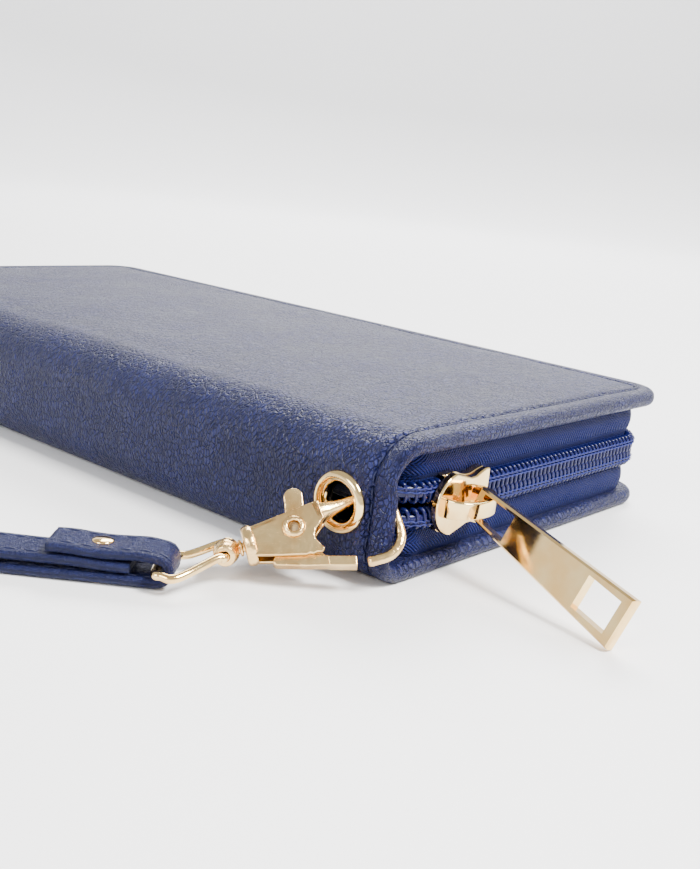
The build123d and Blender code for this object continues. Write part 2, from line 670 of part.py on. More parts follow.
def make_strap():
    """One leather strip and the rivet that closes it on the loop."""
    upright = Plane(origin=bar_centre, x_dir=strap_plane.x_dir, z_dir=-strap_plane.y_dir)
    edges = strap_path()
    path = Wire([edge for edge in edges])
    start = Plane(origin=(strap_flap, fold_mid_radius, 0), x_dir=(0, 0, 1), z_dir=(-1, 0, 0))
    strip = sweep(start * Rectangle(strap_width, strap_thickness), path=path)
    post = Pos(strap_rivet_reach, 0, 0) * Rot(-90, 0, 0)
    half = fold_mid_radius + strap_thickness / 2
    strip -= post * Cylinder(strap_rivet_post, 4 * half)
    save("wrist_strap", upright * strip)
    cap = Cylinder(strap_rivet_cap, strap_rivet_cap_thickness)
    cap = fillet(cap.edges().group_by(Axis.Z)[-1], 0.3)
    rivet = Cylinder(strap_rivet_post - fit_gap, 2 * half)
    rivet += Pos(0, 0, half + strap_rivet_cap_thickness / 2) * cap
    back = Cylinder(strap_rivet_cap, strap_rivet_back_thickness)
    rivet += Pos(0, 0, -half - strap_rivet_back_thickness / 2) * back
    save("strap_rivet", upright * (post * rivet))


def main():
    os.makedirs("parts", exist_ok=True)
    make_covers()
    make_cover_linings()
    make_eyelet()
    make_zip_tapes()
    make_zip_coils()
    make_zip_slider()
    make_slider_bridge()
    make_zip_pull()
    make_card_pockets()
    make_coin_pocket()
    make_gussets()
    make_clasp_body()
    make_clasp_rivet()
    make_clasp_gate()
    head_centre = make_swivel()
    make_swivel_loop(head_centre)
    make_strap()


main()
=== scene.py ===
"""Wristlet wallet: leather, zip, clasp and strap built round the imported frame.

Lengths are millimetres until mesh() turns them into metres.
"""
import bpy
import bmesh
import json
import math
import numpy as np
from mathutils import Matrix, Vector


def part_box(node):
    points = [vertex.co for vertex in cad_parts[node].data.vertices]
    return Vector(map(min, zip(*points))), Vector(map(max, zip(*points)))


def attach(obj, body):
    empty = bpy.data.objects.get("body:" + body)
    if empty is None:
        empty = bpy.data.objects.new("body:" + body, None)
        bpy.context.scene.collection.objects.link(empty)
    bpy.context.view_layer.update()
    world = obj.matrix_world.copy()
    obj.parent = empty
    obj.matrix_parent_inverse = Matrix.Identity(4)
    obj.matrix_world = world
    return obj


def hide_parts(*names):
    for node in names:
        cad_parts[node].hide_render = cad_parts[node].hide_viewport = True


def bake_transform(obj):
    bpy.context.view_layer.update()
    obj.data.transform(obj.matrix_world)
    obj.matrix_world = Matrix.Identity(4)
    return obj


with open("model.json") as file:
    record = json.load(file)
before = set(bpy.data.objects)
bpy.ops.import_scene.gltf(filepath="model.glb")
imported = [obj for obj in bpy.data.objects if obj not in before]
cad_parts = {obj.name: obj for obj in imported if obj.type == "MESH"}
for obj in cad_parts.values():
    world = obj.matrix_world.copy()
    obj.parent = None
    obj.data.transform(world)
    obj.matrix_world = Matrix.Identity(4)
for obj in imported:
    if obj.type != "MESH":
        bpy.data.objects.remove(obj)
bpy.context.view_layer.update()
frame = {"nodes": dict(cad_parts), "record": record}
MM = 0.001


# ---------------------------------------------------------------- helpers
def smooth(t):
    """Smooth step from 0 to 1."""
    t = np.clip(t, 0, 1)
    return t * t * (3 - 2 * t)


def unit(v):
    v = np.asarray(v, float)
    return v / np.linalg.norm(v, axis=-1, keepdims=True)


def mesh(name, verts, faces, material, uv=None, shade=True, merge=None):
    """New mesh object from millimetre points; uv gives one pair per vertex, in metres."""
    data = bpy.data.meshes.new(name)
    points = np.asarray(verts, float) * MM
    data.from_pydata(points.tolist(), [], [list(map(int, f)) for f in faces])
    if uv is not None:
        layer = data.uv_layers.new(name="UVMap")
        index = np.zeros(len(data.loops), np.int32)
        data.loops.foreach_get("vertex_index", index)
        layer.data.foreach_set("uv", (np.asarray(uv, float)[index] * MM).ravel())
    if merge:
        bm = bmesh.new()
        bm.from_mesh(data)
        bmesh.ops.remove_doubles(bm, verts=bm.verts, dist=merge * MM)
        bmesh.ops.recalc_face_normals(bm, faces=bm.faces)
        bm.to_mesh(data)
        bm.free()
    data.polygons.foreach_set("use_smooth", [shade] * len(data.polygons))
    data.materials.append(material)
    piece = bpy.data.objects.new(name, data)
    bpy.context.scene.collection.objects.link(piece)
    return piece


def grid_faces(rows, columns, close_rows=False, close_columns=False, start=0):
    """Quads of a rows x columns vertex grid."""
    faces = []
    for i in range(rows if close_rows else rows - 1):
        for j in range(columns if close_columns else columns - 1):
            a = start + i * columns + j
            b = start + i * columns + (j + 1) % columns
            c = start + ((i + 1) % rows) * columns + (j + 1) % columns
            d = start + ((i + 1) % rows) * columns + j
            faces.append((a, b, c, d))
    return faces


def closed_sheet_faces(rows, columns):
    """Faces of two stacked rows x columns grids and of the rim that joins them."""
    total = rows * columns
    faces = grid_faces(rows, columns) + [f[::-1] for f in grid_faces(rows, columns, start=total)]
    border = ([i * columns for i in range(rows)] + [(rows - 1) * columns + j for j in range(1, columns)]
              + [i * columns + columns - 1 for i in range(rows - 2, -1, -1)] + list(range(columns - 2, 0, -1)))
    for i, j in zip(border, border[1:] + border[:1]):
        faces.append((i, i + total, j + total, j))
    return faces


def lathe(section, count, put, close_section=True):
    """Turns a section round an axis; put(a, b, angle) gives one section point at one angle."""
    turns = np.linspace(0, 2 * math.pi, count, endpoint=False)
    verts = np.array([[put(a, b, t) for a, b in section] for t in turns]).reshape(-1, 3)
    return verts, grid_faces(count, len(section), close_rows=True, close_columns=close_section)


def frames_along(path, up):
    """Side and up vectors along a path, turned as little as possible."""
    tangents = unit(np.gradient(path, axis=0))
    ups = np.zeros_like(path)
    u = np.asarray(up, float)
    for i, t in enumerate(tangents):
        u = unit(u - t * (u @ t))
        ups[i] = u
    return np.cross(tangents, ups), ups


def tube_parts(path, section, up=(0, 0, 1), closed=False, scale=None):
    """Sweeps a 2D section (side, up) along a path; scale may hold one factor pair per point."""
    path = np.asarray(path, float)
    section = np.asarray(section, float)
    sides, ups = frames_along(path, up)
    if scale is None:
        scale = np.ones((len(path), 2))
    rings = (path[:, None] + sides[:, None] * (section[None, :, 0:1] * scale[:, None, 0:1])
             + ups[:, None] * (section[None, :, 1:2] * scale[:, None, 1:2]))
    count = len(section)
    verts = rings.reshape(-1, 3)
    faces = grid_faces(len(path), count, close_rows=closed, close_columns=True)
    if not closed:
        faces.append(tuple(range(count))[::-1])
        last = (len(path) - 1) * count
        faces.append(tuple(range(last, last + count)))
    return verts, faces


def circle(radius, count=12, flat=1.0):
    angle = np.linspace(0, 2 * math.pi, count, endpoint=False)
    return np.stack([radius * np.cos(angle), radius * flat * np.sin(angle)], 1)


def rounded_box(width, height, radius, corner=4):
    """Closed section of a rectangle with round corners."""
    points = []
    for cx, cy, start in ((1, 1, 0), (-1, 1, 90), (-1, -1, 180), (1, -1, 270)):
        for k in range(corner + 1):
            a = math.radians(start + 90 * k / corner)
            points.append((cx * (width / 2 - radius) + radius * math.cos(a),
                           cy * (height / 2 - radius) + radius * math.sin(a)))
    return np.array(points)


def smooth_path(points, per_span):
    """Catmull-Rom curve through the points."""
    p = np.asarray(points, float)
    p = np.concatenate([2 * p[:1] - p[1:2], p, 2 * p[-1:] - p[-2:-1]])
    out = []
    for i in range(1, len(p) - 2):
        for t in np.linspace(0, 1, per_span, endpoint=False):
            out.append(0.5 * (2 * p[i] + (p[i + 1] - p[i - 1]) * t
                              + (2 * p[i - 1] - 5 * p[i] + 4 * p[i + 1] - p[i + 2]) * t ** 2
                              + (3 * p[i] - p[i - 1] - 3 * p[i + 1] + p[i + 2]) * t ** 3))
    out.append(p[-2])
    return np.array(out)


def join_parts(parts):
    """Joins (verts, faces) pairs."""
    verts, faces, start = [], [], 0
    for v, f in parts:
        verts.append(np.asarray(v, float))
        faces += [tuple(i + start for i in face) for face in f]
        start += len(v)
    return np.concatenate(verts), faces


def bevel(piece, width, segments, angle):
    modifier = piece.modifiers.new("soft edges", "BEVEL")
    modifier.width = width * MM
    modifier.segments = segments
    modifier.limit_method = "ANGLE"
    modifier.angle_limit = math.radians(angle)
    modifier.harden_normals = True


def place(piece, body, slot_name, *nodes):
    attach(piece, body)
    if nodes:
        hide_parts(*nodes)


# ---------------------------------------------------------------- materials
def shader(name, color, roughness=0.5, metallic=0.0, **sockets):
    material = bpy.data.materials.new(name)
    material.use_nodes = True
    nodes = material.node_tree.nodes
    principled = nodes["Principled BSDF"]
    principled.inputs["Base Color"].default_value = (*color, 1)
    principled.inputs["Roughness"].default_value = roughness
    principled.inputs["Metallic"].default_value = metallic
    for socket, value in sockets.items():
        principled.inputs[socket.replace("_", " ")].default_value = value
    return material, material.node_tree, principled


def node(tree, kind, links=(), **values):
    """Adds a node; values starting with in_ set inputs by index, others set properties."""
    made = tree.nodes.new(kind)
    for key, value in values.items():
        if key.startswith("in_"):
            made.inputs[int(key[3:])].default_value = value
        else:
            setattr(made, key, value)
    for source, target in links:
        tree.links.new(source, made.inputs[target])
    return made


def ramp(tree, source, stops):
    made = tree.nodes.new("ShaderNodeValToRGB")
    tree.links.new(source, made.inputs[0])
    elements = made.color_ramp.elements
    elements[0].position, elements[0].color = stops[0][0], (*([stops[0][1]] * 3), 1)
    elements[1].position, elements[1].color = stops[-1][0], (*([stops[-1][1]] * 3), 1)
    for position, value in stops[1:-1]:
        elements.new(position).color = (value, value, value, 1)
    return made.outputs[0]


def math_node(tree, operation, *inputs):
    """Math node; each input is a socket or a plain number."""
    made = node(tree, "ShaderNodeMath", operation=operation)
    for index, value in enumerate(inputs):
        if isinstance(value, (int, float)):
            made.inputs[index].default_value = value
        else:
            tree.links.new(value, made.inputs[index])
    return made.outputs[0]


def noise_node(tree, place_at, scale, detail=2.0):
    return node(tree, "ShaderNodeTexNoise", [(place_at, 0)], in_2=scale, in_3=detail)


def tint(tree, principled, factor, a, b):
    """Mixes two colours into the base colour."""
    made = tree.nodes.new("ShaderNodeMix")
    made.data_type = "RGBA"
    made.inputs[6].default_value = (*a, 1)
    made.inputs[7].default_value = (*b, 1)
    tree.links.new(factor, made.inputs[0])
    tree.links.new(made.outputs[2], principled.inputs["Base Color"])


def add_bump(tree, principled, height, distance, strength=1.0):
    bump = node(tree, "ShaderNodeBump", [(height, "Height")])
    bump.inputs["Strength"].default_value = strength
    bump.inputs["Distance"].default_value = distance
    tree.links.new(bump.outputs[0], principled.inputs["Normal"])


def vary_roughness(tree, principled, source, low, high):
    made = node(tree, "ShaderNodeMapRange", [(source, 0)], in_3=low, in_4=high)
    tree.links.new(made.outputs[0], principled.inputs["Roughness"])


def leather_material(name, color, light, cell, depth, stretch=1.0, coords="UV", roughness=(0.30, 0.48)):
    """Pebbled leather: rounded cells with fine wrinkles between them, with painted shade that darkens the valleys.
    """
    material, tree, principled = shader(name, color, 0.45, Specular_IOR_Level=0.2)
    place_at = node(tree, "ShaderNodeTexCoord").outputs[coords]
    mapping = node(tree, "ShaderNodeMapping", [(place_at, 0)])
    mapping.inputs["Scale"].default_value = (1, stretch, 1)
    laid = mapping.outputs[0]
    offset = node(tree, "ShaderNodeVectorMath", [(noise_node(tree, laid, 420.0, 3.0).outputs["Color"], 0)],
                  operation="SCALE")
    offset.inputs["Scale"].default_value = 0.0011
    moved = node(tree, "ShaderNodeVectorMath", [(laid, 0), (offset.outputs[0], 1)], operation="ADD").outputs[0]
    cells = node(tree, "ShaderNodeTexVoronoi", [(moved, 0)], in_2=1 / (cell * MM), feature="SMOOTH_F1")
    fine = node(tree, "ShaderNodeTexVoronoi", [(moved, 0)], in_2=2.3 / (cell * MM), feature="DISTANCE_TO_EDGE")
    crease = noise_node(tree, laid, 2600.0, 4.0).outputs[0]
    broad = noise_node(tree, laid, 70.0, 3.0).outputs[0]
    pebble = ramp(tree, cells.outputs["Distance"], [(0.12, 1.0), (0.5, 0.55), (0.85, 0.0)])
    thin = ramp(tree, fine.outputs["Distance"], [(0.0, 0.0), (0.16, 1.0)])
    amount = math_node(tree, "MULTIPLY", pebble, thin)
    add_bump(tree, principled, math_node(tree, "ADD", amount, crease), depth)
    # Painted shade: the colour goes from the light colour on the pebble tops to the darker base colour in the
    # valleys, varied by a broad random tone.
    painted_shade_and_tone = ramp(tree, math_node(tree, "MULTIPLY", broad, amount), [(0.02, 0.0), (0.5, 1.0)])
    tint(tree, principled, painted_shade_and_tone, color, light)
    vary_roughness(tree, principled, broad, *roughness)
    return material


def woven_material(name, color, light, pitch=0.72, slope=1.0, band=2.4, weft_pitch=0.42):
    """Herringbone tape: slanted ribs that turn back at each band, from the UVs (along, across), with painted shade
    in the grooves between them.
    """
    material, tree, principled = shader(name, color, 0.6, Specular_IOR_Level=0.12)
    uv = node(tree, "ShaderNodeTexCoord").outputs["UV"]
    split = node(tree, "ShaderNodeSeparateXYZ", [(uv, 0)])
    along, across = split.outputs[0], split.outputs[1]
    fold = math_node(tree, "PINGPONG", across, band * MM)
    slanted = math_node(tree, "MULTIPLY_ADD", fold, slope, along)
    rib = math_node(tree, "SINE", math_node(tree, "MULTIPLY", slanted, 2 * math.pi / (pitch * MM)))
    weft = math_node(tree, "SINE", math_node(tree, "MULTIPLY", across, 2 * math.pi / (weft_pitch * MM)))
    height = math_node(tree, "ADD", rib, math_node(tree, "MULTIPLY", weft, 0.35))
    add_bump(tree, principled, height, 0.00035)
    # Painted shade: the raised ribs take the light colour and the grooves between them the darker base colour.
    painted_shade_and_tone = node(tree, "ShaderNodeMapRange", [(height, 0)], in_1=-1.2, in_2=1.3)
    tint(tree, principled, painted_shade_and_tone.outputs[0], color, light)
    return material


def nylon_material(name, color, light, roughness):
    material, tree, principled = shader(name, color, roughness, Specular_IOR_Level=0.3)
    place_at = node(tree, "ShaderNodeTexCoord").outputs["Object"]
    tint(tree, principled, noise_node(tree, place_at, 900.0, 3.0).outputs[0], color, light)
    return material


def gold_material(name, color, dark, roughness, grain, depth):
    """Plated metal: tint and roughness vary a little, with fine casting or polishing marks."""
    material, tree, principled = shader(name, color, roughness, 1.0)
    place_at = node(tree, "ShaderNodeTexCoord").outputs["Object"]
    marks = noise_node(tree, place_at, grain, 5.0).outputs[0]
    broad = noise_node(tree, place_at, 260.0).outputs[0]
    tint(tree, principled, ramp(tree, broad, [(0.3, 0.0), (0.65, 1.0)]), dark, color)
    vary_roughness(tree, principled, marks, roughness * 0.7, roughness * 1.4)
    add_bump(tree, principled, marks, depth, 0.5)
    return material


def cloth_material(name, color, light, pitch=0.35):
    """Plain weave; pitch is one thread and its gap."""
    material, tree, principled = shader(name, color, 0.8, Sheen_Weight=0.2)
    place_at = node(tree, "ShaderNodeTexCoord").outputs["Object"]
    weave = node(tree, "ShaderNodeTexChecker", [(place_at, 0)], in_3=1 / (pitch * MM))
    fibres = noise_node(tree, place_at, 1500.0).outputs[0]
    add_bump(tree, principled, math_node(tree, "ADD", weave.outputs[1], fibres), 0.00008)
    tint(tree, principled, fibres, color, light)
    return material


# In each leather below, the first colour is the painted shade in the valleys between pebbles and the second the
# colour of the pebble tops.
NAVY = (0.0035, 0.0048, 0.030)
NAVY_LIGHT = (0.015, 0.019, 0.090)
leather = leather_material("pebbled leather", NAVY, NAVY_LIGHT, cell=1.6, stretch=0.6, depth=0.0006)
strap_leather = leather_material("strap leather", (0.004, 0.006, 0.034), (0.014, 0.019, 0.085), cell=0.9,
                                 depth=0.0003, roughness=(0.28, 0.45))
pocket_leather = leather_material("pocket leather", NAVY, NAVY_LIGHT, cell=0.8, coords="Object", depth=0.0001)
# The tape's first colour is the painted shade in the weave's grooves and the second the colour of the ribs.
tape_cloth = woven_material("zip tape weave", (0.002, 0.004, 0.035), (0.011, 0.018, 0.15))
coil_nylon = nylon_material("coil nylon", (0.002, 0.003, 0.035), (0.004, 0.007, 0.07), 0.25)
thread = nylon_material("sewing thread", (0.002, 0.003, 0.02), (0.008, 0.012, 0.055), 0.5)
coil_thread = nylon_material("coil thread", (0.004, 0.007, 0.075), (0.012, 0.02, 0.16), 0.5)
polished = gold_material("polished gold", (0.95, 0.70, 0.33), (0.90, 0.58, 0.22), 0.09, 1500.0, 0.000004)
cast = gold_material("cast gold", (0.93, 0.66, 0.30), (0.78, 0.47, 0.17), 0.2, 1300.0, 0.00022)
steel = gold_material("spring steel", (0.6, 0.6, 0.62), (0.5, 0.5, 0.52), 0.25, 2000.0, 0.00001)
lining_cloth = cloth_material("lining cloth", (0.012, 0.018, 0.05), (0.025, 0.035, 0.085))
board = cloth_material("stiffener board", (0.36, 0.30, 0.21), (0.45, 0.38, 0.28), 0.9)

BY_SLOT = {"outer_leather": leather, "lining": lining_cloth, "card_leather": pocket_leather, "stiffener": board,
           "zip_tape": tape_cloth, "zip_coil": coil_nylon, "polished_gold": polished, "cast_gold": cast,
           "spring_steel": steel}


def paint_frame():
    """Gives every carried-over CAD node its material."""
    for row in frame["record"]["subparts"]:
        piece = frame["nodes"][row["node"]]
        piece.data.materials.clear()
        piece.data.materials.append(BY_SLOT[row["material_slot"]])


# ---------------------------------------------------------------- camera, floor and lights
def make_camera():
    data = bpy.data.cameras.new("camera")
    camera = bpy.data.objects.new("camera", data)
    bpy.context.scene.collection.objects.link(camera)
    azimuth, elevation, roll = (math.radians(a) for a in (38.99, 14.02, 6.31))
    back = Vector((math.sin(azimuth) * math.cos(elevation), -math.cos(azimuth) * math.cos(elevation),
                   math.sin(elevation)))
    right = Vector((math.cos(azimuth), math.sin(azimuth), 0))
    up = back.cross(right)
    right_rolled = right * math.cos(roll) + up * math.sin(roll)
    up_rolled = up * math.cos(roll) - right * math.sin(roll)
    turn = Matrix((right_rolled, up_rolled, back)).transposed()
    camera.matrix_world = Matrix.Translation(Vector((193.81, -184.87, 68.4)) * MM) @ turn.to_4x4()
    data.sensor_width = 36
    data.lens = 1142.4 / 869 * 36
    data.clip_start = 0.01
    bpy.context.scene.camera = camera


def area_light(name, at, target, size, power, color=(1, 1, 1)):
    data = bpy.data.lights.new(name, "AREA")
    data.shape = "RECTANGLE"
    data.size, data.size_y = size
    data.energy = power
    data.color = color
    lamp = bpy.data.objects.new(name, data)
    bpy.context.scene.collection.objects.link(lamp)
    lamp.location = at
    lamp.rotation_euler = (Vector(target) - Vector(at)).to_track_quat("-Z", "Y").to_euler()


def make_studio():
    floor_material, tree, principled = shader("pale floor", (0.86, 0.86, 0.87), 0.55)
    place_at = node(tree, "ShaderNodeTexCoord").outputs["Object"]
    tint(tree, principled, noise_node(tree, place_at, 3.0).outputs[0], (0.84, 0.84, 0.855), (0.88, 0.88, 0.885))
    profile = [(0, 0), (400, 0), (1000, 0)] + [(1000 + 900 * math.sin(a), 900 - 900 * math.cos(a))
                                               for a in np.linspace(0.12, math.pi / 2, 14)]
    turn = np.linspace(0, 2 * math.pi, 64, endpoint=False)
    points = [[(r * math.cos(a), r * math.sin(a), z) for r, z in profile] for a in turn]
    floor = mesh("floor", np.array(points).reshape(-1, 3),
                 grid_faces(len(turn), len(profile), close_rows=True), floor_material, merge=0.001)
    world = bpy.data.worlds.new("studio")
    bpy.context.scene.world = world
    world.use_nodes = True
    world.node_tree.nodes["Background"].inputs[0].default_value = (0.96, 0.965, 0.97, 1)
    world.node_tree.nodes["Background"].inputs[1].default_value = 0.72
    area_light("key", (0.60, 0.05, 0.70), (0.05, -0.03, 0), (0.30, 0.30), 26.0, (1, 0.985, 0.96))
    area_light("backdrop light", (-0.5, 0.7, 1.2), (-1.25, 1.55, 0.25), (1.0, 0.5), 22.0)
    area_light("back fill", (-0.45, 0.75, 0.75), (0, 0.1, 0), (0.8, 0.5), 26.0)
    area_light("front fill", (0.05, -0.95, 0.55), (0.02, -0.05, 0), (0.5, 0.3), 9.0)


# ---------------------------------------------------------------- leather covers
SPINE_Y = -47.5
TOP_Z = 25.2
LOW_R = 7.0
HIGH_R = 9.0
CUT_Y = -31.0
TOP_EDGE_Y = 47.5
LOW_EDGE_Y = 46.0
BOTTOM_RUN = SPINE_Y + LOW_R
WALL_TOP = TOP_Z - HIGH_R
EYELET = (82.0, 12.8)
STITCH_IN = 4.0
SPINE_HALF = 92.0
LOW_HALF = 91.5
SHEET_CORNER = 8.0
RIM_THICKNESS = 3.3
SPINE_THINNING = 1.6
HOLE_RADIUS = 4.2
RIM_ROUND = 1.6

PROFILE_STOPS = np.cumsum([0, CUT_Y - BOTTOM_RUN, LOW_R * math.pi / 2, WALL_TOP - LOW_R, HIGH_R * math.pi / 2,
                           TOP_EDGE_Y - SPINE_Y - HIGH_R])


def wrap_profile(s):
    """Outer face of bottom, spine and top: point (y, z) and outward normal at a distance along it."""
    a, b, c, d, e, f = PROFILE_STOPS
    low = (s - b) / LOW_R
    high = (s - d) / HIGH_R
    y = np.select([s < b, s < c, s < d, s < e],
                  [CUT_Y - s, SPINE_Y + LOW_R - LOW_R * np.sin(low), SPINE_Y,
                   SPINE_Y + HIGH_R - HIGH_R * np.cos(high)], SPINE_Y + HIGH_R + (s - e))
    z = np.select([s < b, s < c, s < d, s < e],
                  [0 * s, LOW_R - LOW_R * np.cos(low), LOW_R + (s - c), WALL_TOP + HIGH_R * np.sin(high)],
                  TOP_Z + 0 * s)
    ny = np.select([s < b, s < c, s < d, s < e], [0 * s, -np.sin(low), -1 + 0 * s, -np.cos(high)], 0 * s)
    nz = np.select([s < b, s < c, s < d, s < e], [-1 + 0 * s, -np.cos(low), 0 * s, np.sin(high)], 1 + 0 * s)
    return y, z, ny, nz


def base_profile(s):
    """Outer face of the bottom cover, from the cut towards +Y, facing down."""
    return CUT_Y + s, 0 * s, 0 * s, -1 + 0 * s


def sheet_domain(half, length, corner, step=1.3):
    """Rings along the open U-shaped edge of a sheet and a grid inside them, all as flat (x, s) points."""
    insets = np.array([0, 0.1, 0.25, 0.45, 0.7, 1.0, 1.4, 1.9, 2.5, 3.0, 3.4, 3.65, 3.85, 4.0, 4.15, 4.35, 4.6,
                       5.0, 5.7, 6.6])
    side_n = int((length - corner) / step) + 1
    side = np.linspace(0, length - corner, side_n)
    arc = np.linspace(0, math.pi / 2, 13)[1:]
    top_n = int(2 * (half - corner) / step) + 1
    top = np.linspace(-(half - corner), half - corner, top_n)[1:]

    def edge(inset):
        r = corner - inset
        left = np.stack([np.full(side_n, -half + inset), side], 1)
        first = np.stack([-(half - corner) - r * np.cos(arc), length - corner + r * np.sin(arc)], 1)
        across = np.stack([top, np.full(len(top), length - inset)], 1)
        second = np.stack([(half - corner) + r * np.sin(arc), length - corner + r * np.cos(arc)], 1)
        right = np.stack([np.full(side_n - 1, half - inset), side[::-1][1:]], 1)
        return np.concatenate([left, first, across, second, right])

    rings = np.stack([edge(d) for d in insets])
    inner = rings[-1]
    half_arc = 6
    left = inner[:side_n + half_arc]
    right = inner[len(inner) - side_n - half_arc:][::-1]
    across = inner[side_n + half_arc - 1:len(inner) - side_n - half_arc + 1]
    bottom = np.stack([np.linspace(left[0][0], right[0][0], len(across)), np.zeros(len(across))], 1)
    u = np.linspace(0, 1, len(across))[None, :, None]
    v = np.linspace(0, 1, len(left))[:, None, None]
    fill = ((1 - u) * left[:, None] + u * right[:, None] + (1 - v) * bottom[None] + v * across[None]
            - ((1 - u) * (1 - v) * left[0] + u * (1 - v) * right[0] + (1 - u) * v * left[-1] + u * v * right[-1]))
    return rings, fill


def edge_distance(x, s, half, length, corner):
    """Distance in from the open U-shaped edge."""
    dx = half - np.abs(x)
    ds = length - s
    in_corner = (dx < corner) & (ds < corner)
    round_part = corner - np.hypot(corner - dx, corner - ds)
    return np.maximum(np.where(in_corner, round_part, np.minimum(dx, ds)), 0)


def edge_depth(d, thickness):
    """How far a face has rounded down at a distance in from the rim."""
    t = np.clip(1 - d / RIM_ROUND, 0, 1)
    return thickness / 2 * (1 - (1 - t ** 2.2) ** (1 / 2.2))


def make_shape(profile, half, length, corner, thickness_of, outer_extra, spread_of):
    """Returns put(x, s, inside), which puts flat sheet points into space."""
    def put(x, s, inside):
        x = np.asarray(x, float)
        s = np.asarray(s, float)
        d = edge_distance(x, s, half, length, corner)
        y, z, ny, nz = profile(s)
        t = thickness_of(s)
        if inside:
            h = -t + edge_depth(d, t)
        else:
            h = -edge_depth(d, t) + outer_extra(x, s, d)
        h = h - rim_bend(x, s, profile)
        return np.stack([x * spread_of(s), y + ny * h, np.maximum(z + nz * h, 0.03)], -1)
    return put


def rim_bend(x, s, profile):
    """The end rim of the spine is pushed inward beside the eyelet, where the hook passes round it."""
    if profile is not wrap_profile:
        return 0 * x
    b, c, d, e = PROFILE_STOPS[1:5]
    along = smooth((s - (c - 4)) / 5) * smooth(((d + 3.5) - s) / 5)
    return 1.25 * along * np.clip((x - 88.0) / 3.9, 0, 1) ** 1.15


def wrap_thickness(s):
    b, c, d, e = PROFILE_STOPS[1:5]
    return RIM_THICKNESS - SPINE_THINNING * smooth((s - b) / (c - b)) * smooth((e + 2 - s) / (e - d))


def wrap_outer(x, s, d):
    """Relief of the outer face: rim, stitch channel, creases, dimple round the eyelet and a gently crowned top."""
    b, c, dd, e = PROFILE_STOPS[1:5]
    on_floor = smooth((c - s) / 4)
    channel = 0.55 * np.exp(-((d - STITCH_IN) / 0.45) ** 2)
    rim = 0.12 * np.sin(np.clip(d / STITCH_IN, 0, 1) * math.pi) * (1 - on_floor)
    plump = 0.3 * (1 - np.exp(-np.maximum(d - STITCH_IN, 0) / 1.8)) * (1 - on_floor)
    wall = smooth((s - c + 2) / 4) * smooth((dd + 4 - s) / 6)
    crease = 0.5 * wall * np.exp(-((x - 88.1) / 0.55) ** 2)
    crease += 0.18 * wall * np.exp(-((x - 86.4 - 0.25 * (s - c)) / 0.5) ** 2) * smooth((s - c) / 3)
    reach = np.hypot(x - EYELET[0], (s - c) + LOW_R - EYELET[1])
    dimple = 0.3 * np.exp(-((reach - 4.6) / 1.5) ** 2) * (reach < 12)
    top_y = s - e
    over_top = smooth(top_y / 10)
    crown = 0.55 * over_top * (1 - (x / 95) ** 2) * np.clip(1 - ((top_y - 38) / 50) ** 2, 0, 1)
    wave = 0.10 * np.sin(x * 0.115 + 1.3) * np.sin(s * 0.16 + 0.4) + 0.06 * np.sin(x * 0.31 + s * 0.23)
    roll = 0.12 * np.sin(x * 0.085 + 0.6) * smooth((s - dd) / 6) * smooth((e + 6 - s) / 8)
    return rim + plump + crown + (wave + roll) * smooth(d / 8) * (1 - on_floor) - channel - crease - dimple


def base_outer(x, s, d):
    return -0.1 - 0.2 * np.exp(-((d - STITCH_IN) / 0.42) ** 2)


def wrap_spread(s):
    """The top cover is a little longer than the spine, and the bottom a little shorter."""
    b, c, dd, e = PROFILE_STOPS[1:5]
    return (SPINE_HALF - 0.5 * smooth((c - s) / (c - b)) + 0.5 * smooth((s - dd) / (e - dd))) / SPINE_HALF


WRAP_LENGTH = PROFILE_STOPS[-1]
BASE_LENGTH = LOW_EDGE_Y - CUT_Y
put_wrap = make_shape(wrap_profile, SPINE_HALF, WRAP_LENGTH, SHEET_CORNER, wrap_thickness, wrap_outer,
                      wrap_spread)
put_base = make_shape(base_profile, LOW_HALF, BASE_LENGTH, SHEET_CORNER, lambda s: RIM_THICKNESS + 0 * s,
                      base_outer, lambda s: 1 + 0 * s)


def sheet_piece(name, put, half, length, material, hole=None, s_shift=0.0):
    """Leather sheet: outer and inner face and a rounded rim, left open at the cut."""
    rings, fill = sheet_domain(half, length, SHEET_CORNER)
    outward = unit(rings[0] - rings[-1])
    round_off = edge_depth(np.linalg.norm(rings[0][None] - rings, axis=-1), RIM_THICKNESS)
    verts, faces, uvs = [], [], []
    start = 0
    for inside in (False, True):
        for block in (rings, fill):
            rows, columns = block.shape[:2]
            verts.append(put(block[..., 0], block[..., 1], inside).reshape(-1, 3))
            block_uv = block
            if block is rings:
                past = RIM_THICKNESS - round_off if inside else round_off
                block_uv = block + outward[None] * past[..., None]
            if inside:
                block_uv = block_uv + (0.0, 0.4)
            uvs.append(block_uv.reshape(-1, 2) + (0, s_shift))
            block_faces = grid_faces(rows, columns, start=start)
            if hole is not None:
                flat = block.reshape(-1, 2)
                centre = np.array([flat[np.array(f) - start].mean(0) for f in block_faces])
                keep = np.hypot(centre[:, 0] - hole[0], centre[:, 1] - hole[1]) > hole[2]
                block_faces = [f for f, k in zip(block_faces, keep) if k]
            flip = (block is fill) == inside
            faces += [f[::-1] if flip else f for f in block_faces]
            start += rows * columns
    piece = mesh(name, np.concatenate(verts), faces, material, np.concatenate(uvs), merge=0.004)
    if hole is not None:
        round_hole(piece.data)
    return piece


